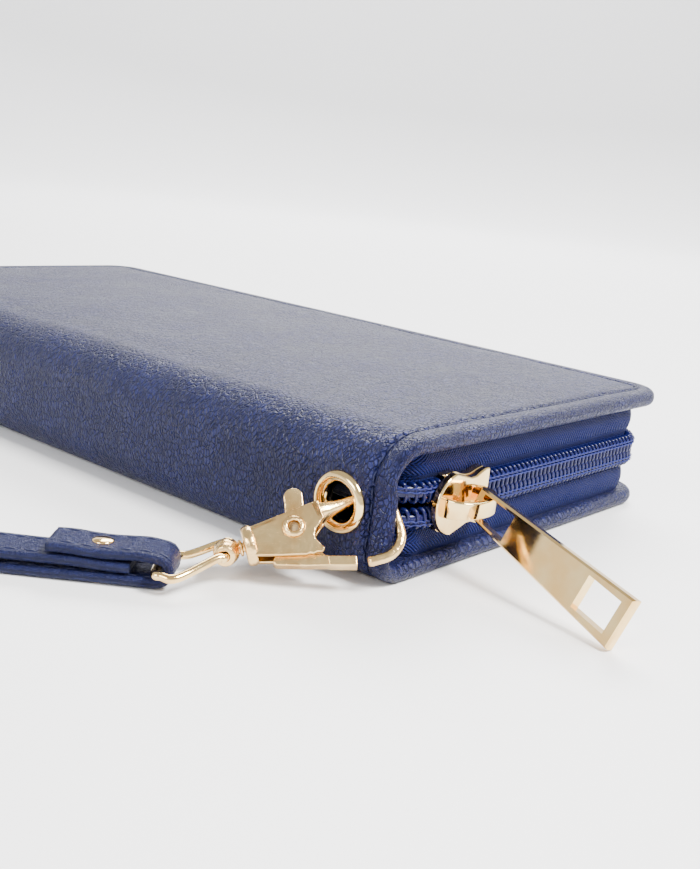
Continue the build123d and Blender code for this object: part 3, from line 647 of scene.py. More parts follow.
def round_hole(data):
    """Pulls the rim of the eyelet's hole onto a circle."""
    bm = bmesh.new()
    bm.from_mesh(data)
    rim = {v for e in bm.edges if e.is_boundary for v in e.verts
           if math.hypot(v.co.x / MM - EYELET[0], v.co.z / MM - EYELET[1]) < 6.5 and v.co.y < -0.04}
    for v in rim:
        dx, dz = v.co.x / MM - EYELET[0], v.co.z / MM - EYELET[1]
        r = math.hypot(dx, dz)
        v.co.x = (EYELET[0] + dx / r * HOLE_RADIUS) * MM
        v.co.z = (EYELET[1] + dz / r * HOLE_RADIUS) * MM
    bm.to_mesh(data)
    bm.free()


def stitch_row(name, put, line, pitch=2.8, length=2.1, radius=0.25, lift=0.17):
    """Row of thread stitches; line is its length and at(t), the flat (x, s) at a distance along it."""
    total, at = line
    arch = lift + 0.16 * np.sin(np.linspace(0, math.pi, 5))
    taper = np.array([0.55, 0.92, 1, 0.92, 0.55])
    parts = []
    for i in range(int(total / pitch)):
        middle = (i + 0.5) * pitch
        flat = [at(middle + (k / 4 - 0.5) * length) for k in range(5)]
        rows = np.array([put(np.array([x]), np.array([s]), False)[0] for x, s in flat])
        x, s = at(middle)
        grid = put(np.array([x, x + 0.3, x]), np.array([s, s, s + 0.3]), False)
        normal = unit(np.cross(grid[1] - grid[0], grid[2] - grid[0]))
        reference = put(np.array([x]), np.array([s]), True)[0]
        if (grid[0] - reference) @ normal < 0:
            normal = -normal
        rows = rows + normal * arch[:, None]
        parts.append(tube_parts(rows, circle(radius, 7, 0.8), up=normal, scale=np.stack([taper, taper], 1)))
    verts, faces = join_parts(parts)
    return mesh(name, verts, faces, thread)


def u_line(half, length, corner, inset):
    """Distance-based walk round the open U edge at an inset."""
    r = corner - inset
    side = length - corner
    arc = r * math.pi / 2
    top = 2 * (half - corner)
    total = 2 * side + 2 * arc + top

    def at(t):
        if t < side:
            return half - inset, t
        t -= side
        if t < arc:
            a = t / r
            return half - corner + r * math.cos(a), side + r * math.sin(a)
        t -= arc
        if t < top:
            return half - corner - t, length - inset
        t -= top
        if t < arc:
            a = t / r
            return -(half - corner) - r * math.sin(a), side + r * math.cos(a)
        return -(half - inset), side - (t - arc)
    return total, at


def make_leather():
    hole_s = PROFILE_STOPS[2] + EYELET[1] - LOW_R
    wrap = sheet_piece("leather_wrap", put_wrap, SPINE_HALF, WRAP_LENGTH, leather, (EYELET[0], hole_s, 4.5))
    base = sheet_piece("bottom_leather", put_base, LOW_HALF, BASE_LENGTH, leather, s_shift=300.0)
    rows = stitch_row("cover_stitching", put_wrap, u_line(SPINE_HALF, WRAP_LENGTH, SHEET_CORNER, STITCH_IN))
    for piece in (wrap, rows):
        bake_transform(piece)
    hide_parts("cover_top_leather")
    place(base, "base", "outer_leather", "cover_bottom_leather")


# ---------------------------------------------------------------- zip
TAPE_X, TAPE_Y = 89.5, 42.2
COIL_OUT_X, COIL_OUT_Y = 91.3, 44.0
ZIP_START_Y = -41.0
COIL_MID = 12.6
COIL_PITCH = 1.46
COIL_LINE = (COIL_OUT_X - 1.15, COIL_OUT_Y - 1.15, 7.6)
COIL_TURN_IN = 3.2


def zip_path(half_x, far_y, corner, step):
    """Plan line of the three zipped sides, from the +X spine end round to the -X spine end."""
    side = far_y - corner - ZIP_START_Y
    arc = corner * math.pi / 2
    top = 2 * (half_x - corner)
    total = 2 * side + 2 * arc + top
    t = np.linspace(0, total, int(total / step) + 1)
    points, normals = [], []
    for d in t:
        if d < side:
            p, n = (half_x, ZIP_START_Y + d), (1, 0)
        elif d < side + arc:
            a = (d - side) / corner
            n = (math.cos(a), math.sin(a))
            p = (half_x - corner + corner * n[0], far_y - corner + corner * n[1])
        elif d < side + arc + top:
            p, n = (half_x - corner - (d - side - arc), far_y), (0, 1)
        elif d < side + 2 * arc + top:
            a = (d - side - arc - top) / corner
            n = (-math.sin(a), math.cos(a))
            p = (-(half_x - corner) + corner * n[0], far_y - corner + corner * n[1])
        else:
            p, n = (-half_x, far_y - corner - (d - side - 2 * arc - top)), (-1, 0)
        points.append(p)
        normals.append(n)
    return t, np.array(points), np.array(normals)


def turn_in(y, depth, begin=-35.8):
    """How far the zip turns in towards the middle near the spine."""
    return depth * np.clip((begin - y) / (begin - ZIP_START_Y), 0, 1) ** 1.7


def spread(y):
    """How far each coil has moved from the middle ahead of the slider."""
    return 0.98 * smooth((-28.3 - y) / 5)


def make_tape(name, low, high, side, body):
    t, plan_points, normals = zip_path(TAPE_X, TAPE_Y, 7.0, 0.8)
    v = np.linspace(0, 1, 15)
    height = low + (high - low) * v
    bulge = 1.05 * np.sin(np.pi * v) ** 0.75 - 0.5
    verts, uvs = [], []
    for thick in (0.0, 0.55):
        for d, p, n in zip(t, plan_points, normals):
            inward = turn_in(p[1], 5.0)
            pull = spread(p[1]) * 0.8
            ripple = 0.05 * math.sin(d * 0.55) + 0.04 * math.sin(d * 0.23 + side)
            out = bulge * (1 + 0.25 * turn_in(p[1], 1.0)) + ripple - inward - thick
            edge_at = v if side < 0 else 1 - v
            z = height + side * pull * edge_at
            xy = p[None] + n[None] * out[:, None]
            verts.append(np.column_stack([xy, z]))
            uvs.append(np.column_stack([np.full(len(v), d), height * 1.12]))
    rows = len(t)
    count = len(v)
    verts = np.concatenate(verts)
    outer = grid_faces(rows, count)
    total = rows * count
    inner = [f[::-1] for f in grid_faces(rows, count, start=total)]
    rim = []
    for j in (0, count - 1):
        for i in range(rows - 1):
            a, b = i * count + j, (i + 1) * count + j
            rim.append((a, b, b + total, a + total) if j else (b, a, a + total, b + total))
    for i in (0, rows - 1):
        for j in range(count - 1):
            a, b = i * count + j, i * count + j + 1
            rim.append((b, a, a + total, b + total) if i else (a, b, b + total, a + total))
    piece = mesh(name + "_cloth", verts, outer + inner + rim, tape_cloth, np.concatenate(uvs))
    place(piece, body, "zip_tape", name)


def make_coil_turns(name, side, body):
    """Nylon coil: one slanted rounded loop per turn, its heads reaching past the middle into the other coil."""
    t, plan_points, normals = zip_path(*COIL_LINE, COIL_PITCH)
    wire, power = 0.4, 0.72
    steps = np.linspace(0, 2 * math.pi, 15)[:-1]
    cos, sin = np.cos(steps), np.sin(steps)
    ring = circle(wire, 6)
    along = 0.0 if side > 0 else 0.5
    parts = []
    for i in range(len(t) - 1):
        p = plan_points[i] * (1 - along) + plan_points[i + 1] * along
        n = unit(normals[i] * (1 - along) + normals[i + 1] * along)
        forward = np.array([-n[1], n[0]])
        z_low = COIL_MID - 0.48 + spread(p[1])
        z_high = COIL_MID + 3.15 + spread(p[1]) * 0.9
        middle = (z_low + z_high) / 2
        half = (z_high - z_low) / 2 - 0.05
        out = np.sign(cos) * np.abs(cos) ** power * (1.15 - wire) - turn_in(p[1], COIL_TURN_IN)
        rise = np.sign(sin) * np.abs(sin) ** power * (half - wire * 0.2)
        slant = 0.24 * COIL_PITCH * -sin * side + 0.1 * COIL_PITCH * cos
        xy = p[None] + n[None] * out[:, None] + forward[None] * slant[:, None]
        z = middle + rise
        if side < 0:
            z = 2 * COIL_MID - z
        loop = np.column_stack([xy, z])
        tangents = unit(np.roll(loop, -1, 0) - np.roll(loop, 1, 0))
        outward = unit(loop - loop.mean(0))
        outward = unit(outward - tangents * np.sum(outward * tangents, 1, keepdims=True))
        across = np.cross(tangents, outward)
        verts = loop[:, None] + outward[:, None] * ring[None, :, 0:1] + across[:, None] * ring[None, :, 1:2]
        parts.append((verts.reshape(-1, 3), grid_faces(len(loop), 6, close_rows=True, close_columns=True)))
    verts, faces = join_parts(parts)
    place(mesh(name + "_turns", verts, faces, coil_nylon), body, "zip_coil", name)


def make_coil(name, side, body):
    """The coil's turns, its two rows of thread, the cord inside it and the ribbon behind it."""
    make_coil_turns(name, side, body)
    fine_t, fine_points, fine_normals = zip_path(*COIL_LINE, COIL_PITCH / 6)
    rows = []
    for z_row, phase in ((1.55, 0.0), (2.2, math.pi)):
        wave = 0.16 * np.cos(fine_t * 2 * math.pi / COIL_PITCH + phase)
        sway = 0.10 * np.sin(fine_t * 2 * math.pi / COIL_PITCH + phase)
        out = 1.12 + wave - turn_in(fine_points[:, 1], COIL_TURN_IN)
        z = z_row + spread(fine_points[:, 1]) + sway
        path = np.column_stack([fine_points + fine_normals * out[:, None], COIL_MID + side * z])
        rows.append(tube_parts(path, circle(0.15, 5)))
    verts, faces = join_parts(rows)
    place(mesh(name + "_thread", verts, faces, coil_thread), body, "zip_coil")

    plan, normals = fine_points[::3], fine_normals[::3]

    def line_at(out, z):
        """Line behind the coil's face: out from its middle line, z from the zip's middle."""
        level = COIL_MID + side * (z + spread(plan[:, 1]))
        return np.column_stack([plan + normals * (out - turn_in(plan[:, 1:2], COIL_TURN_IN)), level])

    verts, faces = tube_parts(line_at(0, 1.5), rounded_box(1.5, 2.1, 0.5, 2))
    place(mesh(name + "_core", verts, faces, coil_nylon), body, "zip_coil")
    back = np.stack([line_at(out, z) for out, z in ((-0.95, 0.1), (-0.95, 3.5), (-1.45, 3.5), (-1.45, 0.1))], 1)
    ribbon_uv = np.column_stack([np.repeat(fine_t[::3], 4), np.tile([0, 3.4, 3.9, 7.3], len(back))])
    ribbon = mesh(name + "_ribbon", back.reshape(-1, 3), grid_faces(len(back), 4, close_columns=True), tape_cloth,
                  ribbon_uv, shade=False)
    place(ribbon, body, "zip_tape")


def make_zip():
    make_tape("zip_tape_lower", 2.9, 9.45, -1, "base")
    make_tape("zip_tape_upper", 15.75, 22.3, 1, "lid")
    make_coil("zip_coil_lower", -1, "base")
    make_coil("zip_coil_upper", 1, "lid")


# ---------------------------------------------------------------- clasp
CLASP_O = np.array([79.55, -55.05, 8.4])
CLASP_U = unit(np.array([0.5829, 0.7533, 0.3045]))
CLASP_N = unit(np.array([0.4571, -0.6138, 0.6436]))
CLASP_V = np.cross(CLASP_N, CLASP_U)
STRAP_ANGLE = math.radians(219.0)
STRAP_S = np.array([math.cos(STRAP_ANGLE), math.sin(STRAP_ANGLE), 0])
STRAP_W = np.array([-STRAP_S[1], STRAP_S[0], 0])
UP = np.array([0.0, 0.0, 1.0])
BAR = np.array([68.3, -72.8, 3.1])


def on_clasp(points):
    """Clasp coordinates (along, across, out of the face) to space."""
    p = np.asarray(points, float)
    return CLASP_O + p[..., 0:1] * CLASP_U + p[..., 1:2] * CLASP_V + p[..., 2:3] * CLASP_N


def plate(outline, low, high, holes=()):
    """Flat plate from an outline and round holes, as points and faces."""
    bm = bmesh.new()
    edges = []
    loops = [outline] + [[(cx + r * math.cos(a), cy + r * math.sin(a))
                          for a in np.linspace(0, 2 * math.pi, 24, endpoint=False)] for cx, cy, r in holes]
    for loop in loops:
        ring = [bm.verts.new((x, y, low)) for x, y in loop]
        edges += [bm.edges.new((ring[i], ring[(i + 1) % len(ring)])) for i in range(len(ring))]
    bmesh.ops.triangle_fill(bm, use_beauty=True, use_dissolve=True, edges=edges)
    for face in bm.faces:
        if face.normal.z > 0:
            face.normal_flip()
    made = bmesh.ops.extrude_face_region(bm, geom=list(bm.faces))
    moved = [g for g in made["geom"] if isinstance(g, bmesh.types.BMVert)]
    bmesh.ops.translate(bm, vec=(0, 0, high - low), verts=moved)
    bmesh.ops.recalc_face_normals(bm, faces=bm.faces)
    verts = np.array([v.co for v in bm.verts])
    bm.verts.index_update()
    faces = [tuple(v.index for v in f.verts) for f in bm.faces]
    bm.free()
    return verts, faces


def arc_points(cx, cy, radius, start, end, count):
    return [(cx + radius * math.cos(math.radians(a)), cy + radius * math.sin(math.radians(a)))
            for a in np.linspace(start, end, count)]


def make_clasp():
    wall = 0.95
    face_out = 2.2
    mouth = [(5.1, 0.3), (4.6, -0.1), (4.0, -0.65), (3.3, -1.3), (2.85, -2.2), (2.95, -3.1), (3.4, -4.0),
             (3.9, -4.75)]
    outline = ([(-6.9, 1.95), (-4.5, 2.25), (-2.0, 2.6), (1.0, 3.0), (3.8, 3.35), (4.9, 3.42)] + mouth
               + [(3.2, -5.25), (2.4, -5.0), (1.9, -5.2), (1.3, -4.9), (0.8, -5.0), (-3.0, -4.1), (-7.2, -2.95)])
    front = plate(outline, face_out - wall, face_out, holes=[(0, 0, 1.0)])
    rear = plate(outline, -face_out, -face_out + wall, holes=[(0, 0, 1.0)])
    top = plate([(-6.9, 1.95), (-4.5, 2.25), (-2.2, 2.57), (-2.2, 1.6), (-6.9, 0.9)], -face_out, face_out)
    bridge = plate([(3.4, 3.3), (4.9, 3.42), (5.0, 0.5), (3.9, 0.4)], -face_out, face_out)
    end = plate([(-7.2, -2.9), (-6.9, 1.9), (-6.2, 1.9), (-6.3, -2.6)], -face_out, face_out)
    verts, faces = join_parts([(on_clasp(v), f) for v, f in (front, rear, top, bridge, end)])
    body = mesh("clasp_channel", verts, faces, cast, shade=False)
    bevel(body, 0.28, 3, 30)
    place(body, "clasp", "cast_gold", "clasp_body")
    make_hook()
    make_collar()


def make_hook():
    """Round hook, flat and wide where it leaves the casting."""
    low = 2.75 - 4.15
    top_arc = [(12.2 + 4.15 * math.cos(a), low + 4.15 * math.sin(a)) for a in np.linspace(math.pi / 2, 0, 15)]
    low_arc = [(12.35 + 4.0 * math.cos(a), -4.2 + 4.0 * math.sin(a)) for a in np.linspace(0, -math.pi / 2, 13)]
    root = [(3.9, 1.85), (4.9, 1.92), (6.0, 2.05), (7.4, 2.2), (9.0, 2.42), (10.8, 2.68)]
    tip = [(11.4, -8.2), (10.4, -8.2), (9.85, -8.2)]
    line = root + top_arc + [(16.35, -2.8)] + low_arc + tip
    path = on_clasp([(a, b, 0) for a, b in line])
    count = len(path)
    wide = np.full(count, 0.82)
    deep = np.full(count, 0.86)
    wide[:5] = (1.55, 1.55, 1.3, 1.06, 0.9)
    deep[:5] = (2.2, 2.15, 1.7, 1.28, 1.0)
    wide[-1] = 0.66
    section = circle(1.0, 24)
    section = np.sign(section) * np.abs(section) ** 0.8
    verts, faces = tube_parts(path, section, up=CLASP_N, scale=np.stack([wide, deep], 1))
    place(mesh("clasp_hook", verts, faces, cast), "clasp", "cast_gold")


def make_collar():
    """Round collar at the casting's end, where the swivel's stud goes in."""
    rim = [(-1.05, 2.45), (-1.0, 2.95), (-0.65, 3.2), (0.15, 3.3), (0.6, 3.12), (0.78, 2.7), (0.8, 1.2),
           (0.55, 0.95), (-0.8, 0.95), (-1.05, 1.2)]
    verts, faces = lathe(rim, 40, lambda a, r, t: (-7.25 + a, -0.4 + r * math.cos(t), r * math.sin(t)))
    collar = mesh("clasp_collar", on_clasp(verts), faces, cast)
    bevel(collar, 0.12, 2, 40)
    place(collar, "clasp", "cast_gold")


def make_rivet():
    """Hollow rivet with a rolled flange on both faces."""
    flange = [(0.86, 2.0), (0.86, 2.5), (0.98, 2.76), (1.22, 2.88), (1.5, 2.78), (1.78, 2.55), (1.85, 2.25),
              (1.0, 2.15)]
    section = flange + [(r, -h) for r, h in flange[::-1]]
    verts, faces = lathe(section, 32, lambda r, h, t: (r * math.cos(t), r * math.sin(t), h))
    place(mesh("hollow_rivet", on_clasp(verts), faces, cast, merge=0.001), "clasp", "cast_gold", "clasp_rivet")


def make_gate():
    """Gate: flat finger with a stepped end block and a rounded thumb tab above."""
    finger = [(-4.3, -5.0), (-4.7, -4.5), (-4.4, -3.9), (-1.8, -0.4), (1.8, -0.6), (2.0, -4.9), (4.6, -5.9),
              (7.9, -7.1), (7.7, -8.45), (4.6, -7.55), (0.0, -6.35)]
    block = [(3.9, -5.75), (8.35, -7.0), (8.0, -8.65), (3.7, -7.4)]
    tab = ([(-1.0, 1.2), (-0.35, 4.9)] + arc_points(1.3, 5.25, 1.62, 165, 15, 9) + [(2.75, 4.6), (1.9, 0.9)])
    parts = []
    for outline, low, high in ((finger, -1.05, 1.05), (block, -1.25, 1.25), (tab, -1.0, 0.95)):
        verts, faces = plate(outline, low, high)
        if outline is tab:
            lean = np.clip(verts[:, 1] - 2.5, 0, None)
            verts[:, 2] += 0.1 * lean
        parts.append((on_clasp(verts), faces))
    verts, faces = join_parts(parts)
    gate = mesh("gate_lever", verts, faces, cast, shade=False)
    bevel(gate, 0.22, 3, 30)
    place(gate, "gate", "cast_gold", "clasp_gate")


def make_swivel():
    head = CLASP_O + CLASP_U * -11.2 + CLASP_V * -0.4
    profile = [(-2.3, 1.15), (-2.15, 1.6), (-1.7, 1.85), (-1.2, 1.75), (-0.7, 2.0), (0.0, 2.15), (0.7, 2.0),
               (1.2, 1.75), (1.7, 1.85), (2.15, 1.6), (2.3, 1.15), (2.3, 0.86), (-2.3, 0.86)]

    def at(h, r, t):
        return head + STRAP_W * h + (STRAP_S * math.cos(t) + UP * math.sin(t)) * r

    barrel = lathe(profile, 32, at)
    pin_path = [head + CLASP_U * a for a in (0.9, 2.0, 3.0, 4.2, 5.4)]
    pin = tube_parts(pin_path, circle(0.78, 16), up=CLASP_N)
    washer_path = [head + CLASP_U * a for a in (2.05, 2.2, 2.5, 2.65)]
    scale = np.array([[0.8, 0.8], [1, 1], [1, 1], [0.8, 0.8]])
    washer = tube_parts(washer_path, circle(1.35, 20), up=CLASP_N, scale=scale)
    verts, faces = join_parts([barrel, pin, washer])
    swivel = mesh("swivel_barrel", verts, faces, cast)
    bevel(swivel, 0.1, 2, 40)
    place(swivel, "swivel", "cast_gold", "swivel_head")
    make_wire_loop(head)


def make_wire_loop(head):
    """Wire loop from the swivel's barrel round the strap's fold."""
    reach = 4.0 + 0.35 + 0.8
    straight = STRAP_S * -(1.95 + 1.6)
    points = []
    for side in (1, -1):
        corner = BAR + STRAP_W * -side * reach
        leg = [head + STRAP_W * -side * 0.6, head + STRAP_W * -side * 2.9,
               head + STRAP_W * -side * 3.75 + STRAP_S * 1.2, corner + straight, corner - STRAP_S * 1.2,
               corner + STRAP_W * side * 1.1]
        points += leg if side == 1 else leg[::-1]
    path = smooth_path(points, 7)
    verts, faces = tube_parts(path, circle(0.72, 14))
    place(mesh("wire_loop", verts, faces, polished), "loop", "cast_gold", "swivel_loop")


# ---------------------------------------------------------------- eyelet
def make_eyelet():
    section = [(3.25, 1.9), (3.2, 0.6), (3.25, 0.1), (3.4, -0.4), (3.7, -0.8), (4.1, -1.04), (4.5, -1.06),
               (4.9, -0.88), (5.2, -0.5), (5.34, -0.05), (5.3, 0.2), (4.9, 0.3), (4.1, 0.35), (3.6, 1.9)]
    verts, faces = lathe(section, 48, lambda r, y, t: (EYELET[0] + r * math.cos(t), SPINE_Y + y,
                                                       EYELET[1] + r * math.sin(t)))
    place(mesh("rolled_eyelet", verts, faces, polished, merge=0.001), "base", "polished_gold", "eyelet")


# ---------------------------------------------------------------- slider and pull
SLIDER_NOSE_Y = -35.4
PLATE_X = 91.55


def slider_outline():
    """Shield outline (y from the nose, z from the middle)."""
    nose = arc_points(5.4, 0, 5.5, 100, 260, 19)
    tail_low = [(7.4, -4.6), (9.0, -4.15), (10.6, -4.2), (12.2, -4.75), (13.6, -5.1), (14.9, -5.05), (15.0, -4.2)]
    tail_high = [(15.0, 4.2), (14.9, 5.05), (13.6, 5.1), (12.2, 4.75), (10.6, 4.2), (9.0, 4.15), (7.4, 4.6)]
    return nose + tail_low + tail_high


def make_slider():
    outline = slider_outline()
    verts, faces = plate(outline, 0, 1.25)
    crown = 0.35 * np.clip(1 - ((verts[:, 0] - 5.5) / 9) ** 2, 0, 1) * (verts[:, 2] > 0.6)
    points = np.column_stack([PLATE_X + verts[:, 2] + crown, SLIDER_NOSE_Y + verts[:, 0], COIL_MID + verts[:, 1]])
    outer = mesh("slider_plate", points, faces, polished, shade=False)
    bevel(outer, 0.4, 4, 30)
    place(outer, "zip_slider", "polished_gold", "slider_body")
    inner_x = 87.25
    points = np.column_stack([inner_x + verts[:, 2] * 0.95, SLIDER_NOSE_Y + 2.6 + verts[:, 0] * 0.82,
                              COIL_MID + verts[:, 1] * 0.85])
    inner = mesh("slider_back_plate", points, faces, polished, shade=False)
    bevel(inner, 0.3, 3, 30)
    place(inner, "zip_slider", "polished_gold")
    flanges = []
    for side in (-1, 1):
        edge = [(3.2, 4.75), (5.5, 5.05), (7.4, 4.45), (9.0, 4.1), (10.8, 4.15), (12.6, 4.6), (14.2, 4.85)]
        line = smooth_path([(PLATE_X - 0.75, SLIDER_NOSE_Y + y, COIL_MID + side * z) for y, z in edge], 5)
        flanges.append(tube_parts(line, rounded_box(1.7, 0.55, 0.2, 2), up=(0, 0, 1)))
    post = [(x, SLIDER_NOSE_Y + 2.2, COIL_MID) for x in (inner_x + 0.6, 89.0, PLATE_X + 0.3)]
    flanges.append(tube_parts(post, rounded_box(0.3, 2.4, 0.12, 2)[:, ::-1], up=(0, 1, 0)))
    flange_verts, flange_faces = join_parts(flanges)
    place(mesh("slider_flanges", flange_verts, flange_faces, polished), "zip_slider", "polished_gold")
    base_x = PLATE_X + 1.3
    line = [(-0.4, 1.9), (0.9, 1.75), (2.6, 2.4), (3.9, 4.0), (4.55, 6.4), (4.5, 9.0), (3.7, 11.4), (2.2, 13.0),
            (-0.4, 13.5)]
    path = smooth_path([(base_x + x, SLIDER_NOSE_Y + y, COIL_MID) for x, y in line], 6)
    width = 1.0 + 0.25 * np.abs(np.linspace(-1, 1, len(path))) ** 2
    verts, faces = tube_parts(path, rounded_box(2.9, 0.95, 0.22, 3)[:, ::-1], up=(0, 0, 1),
                              scale=np.stack([np.ones(len(path)), width], 1))
    place(mesh("slider_arch", verts, faces, polished), "zip_slider", "polished_gold", "slider_bridge")


def dress_pull():
    for name in ("zip_pull", "coin_slider", "coin_pull"):
        bevel(frame["nodes"][name], 0.12, 2, 20)


# ---------------------------------------------------------------- wrist strap
STRAP_WIDTH = 8.0
STRAP_T = 1.6
STRAP_STITCH_OUT = 2.75


def strap_line():
    """Centre line of the strip in (distance from the bar, height): flap, fold, lower run, far end, upper run."""
    ground = STRAP_T / 2 + 0.05 - BAR[2]
    upper = ground + STRAP_T + 0.9
    mid = 1.95
    flap = [(16.9, mid + 0.15), (15.2, mid + 0.25), (13.2, mid + 0.22), (11.0, mid + 0.05), (8.0, mid - 0.02),
            (5.0, mid + 0.12), (2.4, mid + 0.25), (0.6, mid + 0.06)]
    fold = [(-mid * math.sin(a), mid * math.cos(a)) for a in np.linspace(0.45, math.pi - 0.35, 7)]
    lower = [(1.2, -mid - 0.02), (6, -mid), (12, -mid - 0.05), (18, -mid - 0.15), (26, ground + 0.1), (40, ground),
             (70, ground), (100, ground), (125, ground), (139, ground + 0.1)]
    end = [(144.6, ground + 0.9), (147.6, ground + 3.6), (146.2, ground + 6.9), (141.5, ground + 7.5)]
    back = [(133, ground + 6.0), (122, upper + 0.8), (105, upper), (80, upper - 0.1), (50, upper), (30, upper),
            (20, upper - 0.05), (13, 0.25), (7.5, 0.0), (3.4, 0.0)]
    return flap + fold + lower + end + back


def make_strap():
    path2 = smooth_path([(x, z, 0) for x, z in strap_line()], 7)
    gaps = np.linalg.norm(np.diff(path2, axis=0), axis=1)
    distance = np.concatenate([[0], np.cumsum(gaps)])
    even = np.arange(0, distance[-1], 0.7)
    x = np.interp(even, distance, path2[:, 0])
    z = np.interp(even, distance, path2[:, 1])
    wobble = 0.12 * np.sin(even * 0.21) + 0.08 * np.sin(even * 0.53 + 1)
    path = BAR + x[:, None] * STRAP_S + z[:, None] * UP
    section = rounded_box(STRAP_WIDTH, STRAP_T, 0.62, 4)
    across = []
    for k in range(len(section)):
        a, b = section[k], section[(k + 1) % len(section)]
        across.append(a)
        if abs(a[0] - b[0]) > 3:
            for f in np.linspace(0, 1, 16)[1:-1]:
                across.append(a + (b - a) * f)
    section = np.array(across)
    tangents = unit(np.gradient(path, axis=0))
    side = np.tile(STRAP_W, (len(path), 1))
    normal = np.cross(tangents, side)
    off_row = (np.abs(section[:, 0]) - STRAP_STITCH_OUT) / 0.3
    channel = 0.16 * np.exp(-off_row ** 2) * (np.abs(section[:, 1]) > 0.6)
    thickness = section[:, 1] - np.sign(section[:, 1]) * channel
    rings = (path[:, None] + side[:, None] * section[None, :, 0:1]
             + normal[:, None] * (thickness[None, :, None] * (1 + 0.04 * wobble[:, None, None])))
    count = len(section)
    verts = rings.reshape(-1, 3)
    faces = grid_faces(len(path), count, close_columns=True)
    faces.append(tuple(range(count))[::-1])
    faces.append(tuple(range((len(path) - 1) * count, len(path) * count)))
    uv = np.stack([np.repeat(even, count), np.tile(np.arange(count) / count * 19.0, len(path))], 1)
    strap = mesh("strap_leather", verts, faces, strap_leather, uv)
    place(strap, "strap", "outer_leather", "wrist_strap")
    stitch_strap(path2, distance)
    make_strap_rivet()


def stitch_strap(path2, distance):
    """Two rows of stitches on each face of the strip."""
    parts = []
    pitch, length = 3.0, 2.1
    lift = STRAP_T / 2 - 0.16 + 0.1 * np.sin(np.linspace(0, math.pi, 5))
    taper = np.array([0.5, 0.9, 1, 0.9, 0.5])
    for edge in (-STRAP_STITCH_OUT, STRAP_STITCH_OUT):
        for face in (-1, 1):
            position = 2.0
            while position < distance[-1] - 3:
                at = np.linspace(position, position + length, 5)
                px = np.interp(at, distance, path2[:, 0])
                pz = np.interp(at, distance, path2[:, 1])
                line = BAR + px[:, None] * STRAP_S + pz[:, None] * UP
                t = unit(np.gradient(line, axis=0))
                n = np.cross(t, np.tile(STRAP_W, (5, 1)))
                line = line + STRAP_W * edge + n * (face * lift)[:, None]
                parts.append(tube_parts(line, circle(0.2, 6), up=n[2], scale=np.stack([taper, taper], 1)))
                position += pitch
    verts, faces = join_parts(parts)
    place(mesh("strap_stitching", verts, faces, thread), "strap", "outer_leather")


def make_strap_rivet():
    """Domed rivet that closes the strip's fold."""
    section = [(0.01, -3.0), (2.6, -3.0), (2.75, -2.9), (2.7, -2.78), (1.15, -2.76), (1.15, 2.5), (1.65, 2.6),
               (1.75, 2.8), (1.6, 3.0), (1.1, 3.12), (0.01, 3.17)]

    def at(r, z, t):
        return BAR + STRAP_S * (9.0 + r * math.cos(t)) + STRAP_W * (r * math.sin(t)) + UP * z

    verts, faces = lathe(section, 36, at, close_section=False)
    place(mesh("rivet_cap", verts, faces, polished, merge=0.03), "strap", "polished_gold", "strap_rivet")


# ---------------------------------------------------------------- inside of the wallet
ROWS = {row["node"]: row for row in frame["record"]["subparts"]}


def box_of(name):
    lo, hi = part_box(name)
    return np.array(lo) / MM, np.array(hi) / MM


def spaced(lo, hi, step):
    """Coordinates from lo to hi, close together near both ends."""
    edge = np.array([0, 0.08, 0.2, 0.4, 0.7, 1.1, 1.6])
    edge = edge[edge < (hi - lo) / 2 - 0.2]
    middle = np.linspace(lo + edge[-1], hi - edge[-1], max(3, int((hi - lo) / step)))
    return np.concatenate([lo + edge[:-1], middle, (hi - edge[:-1])[::-1]])


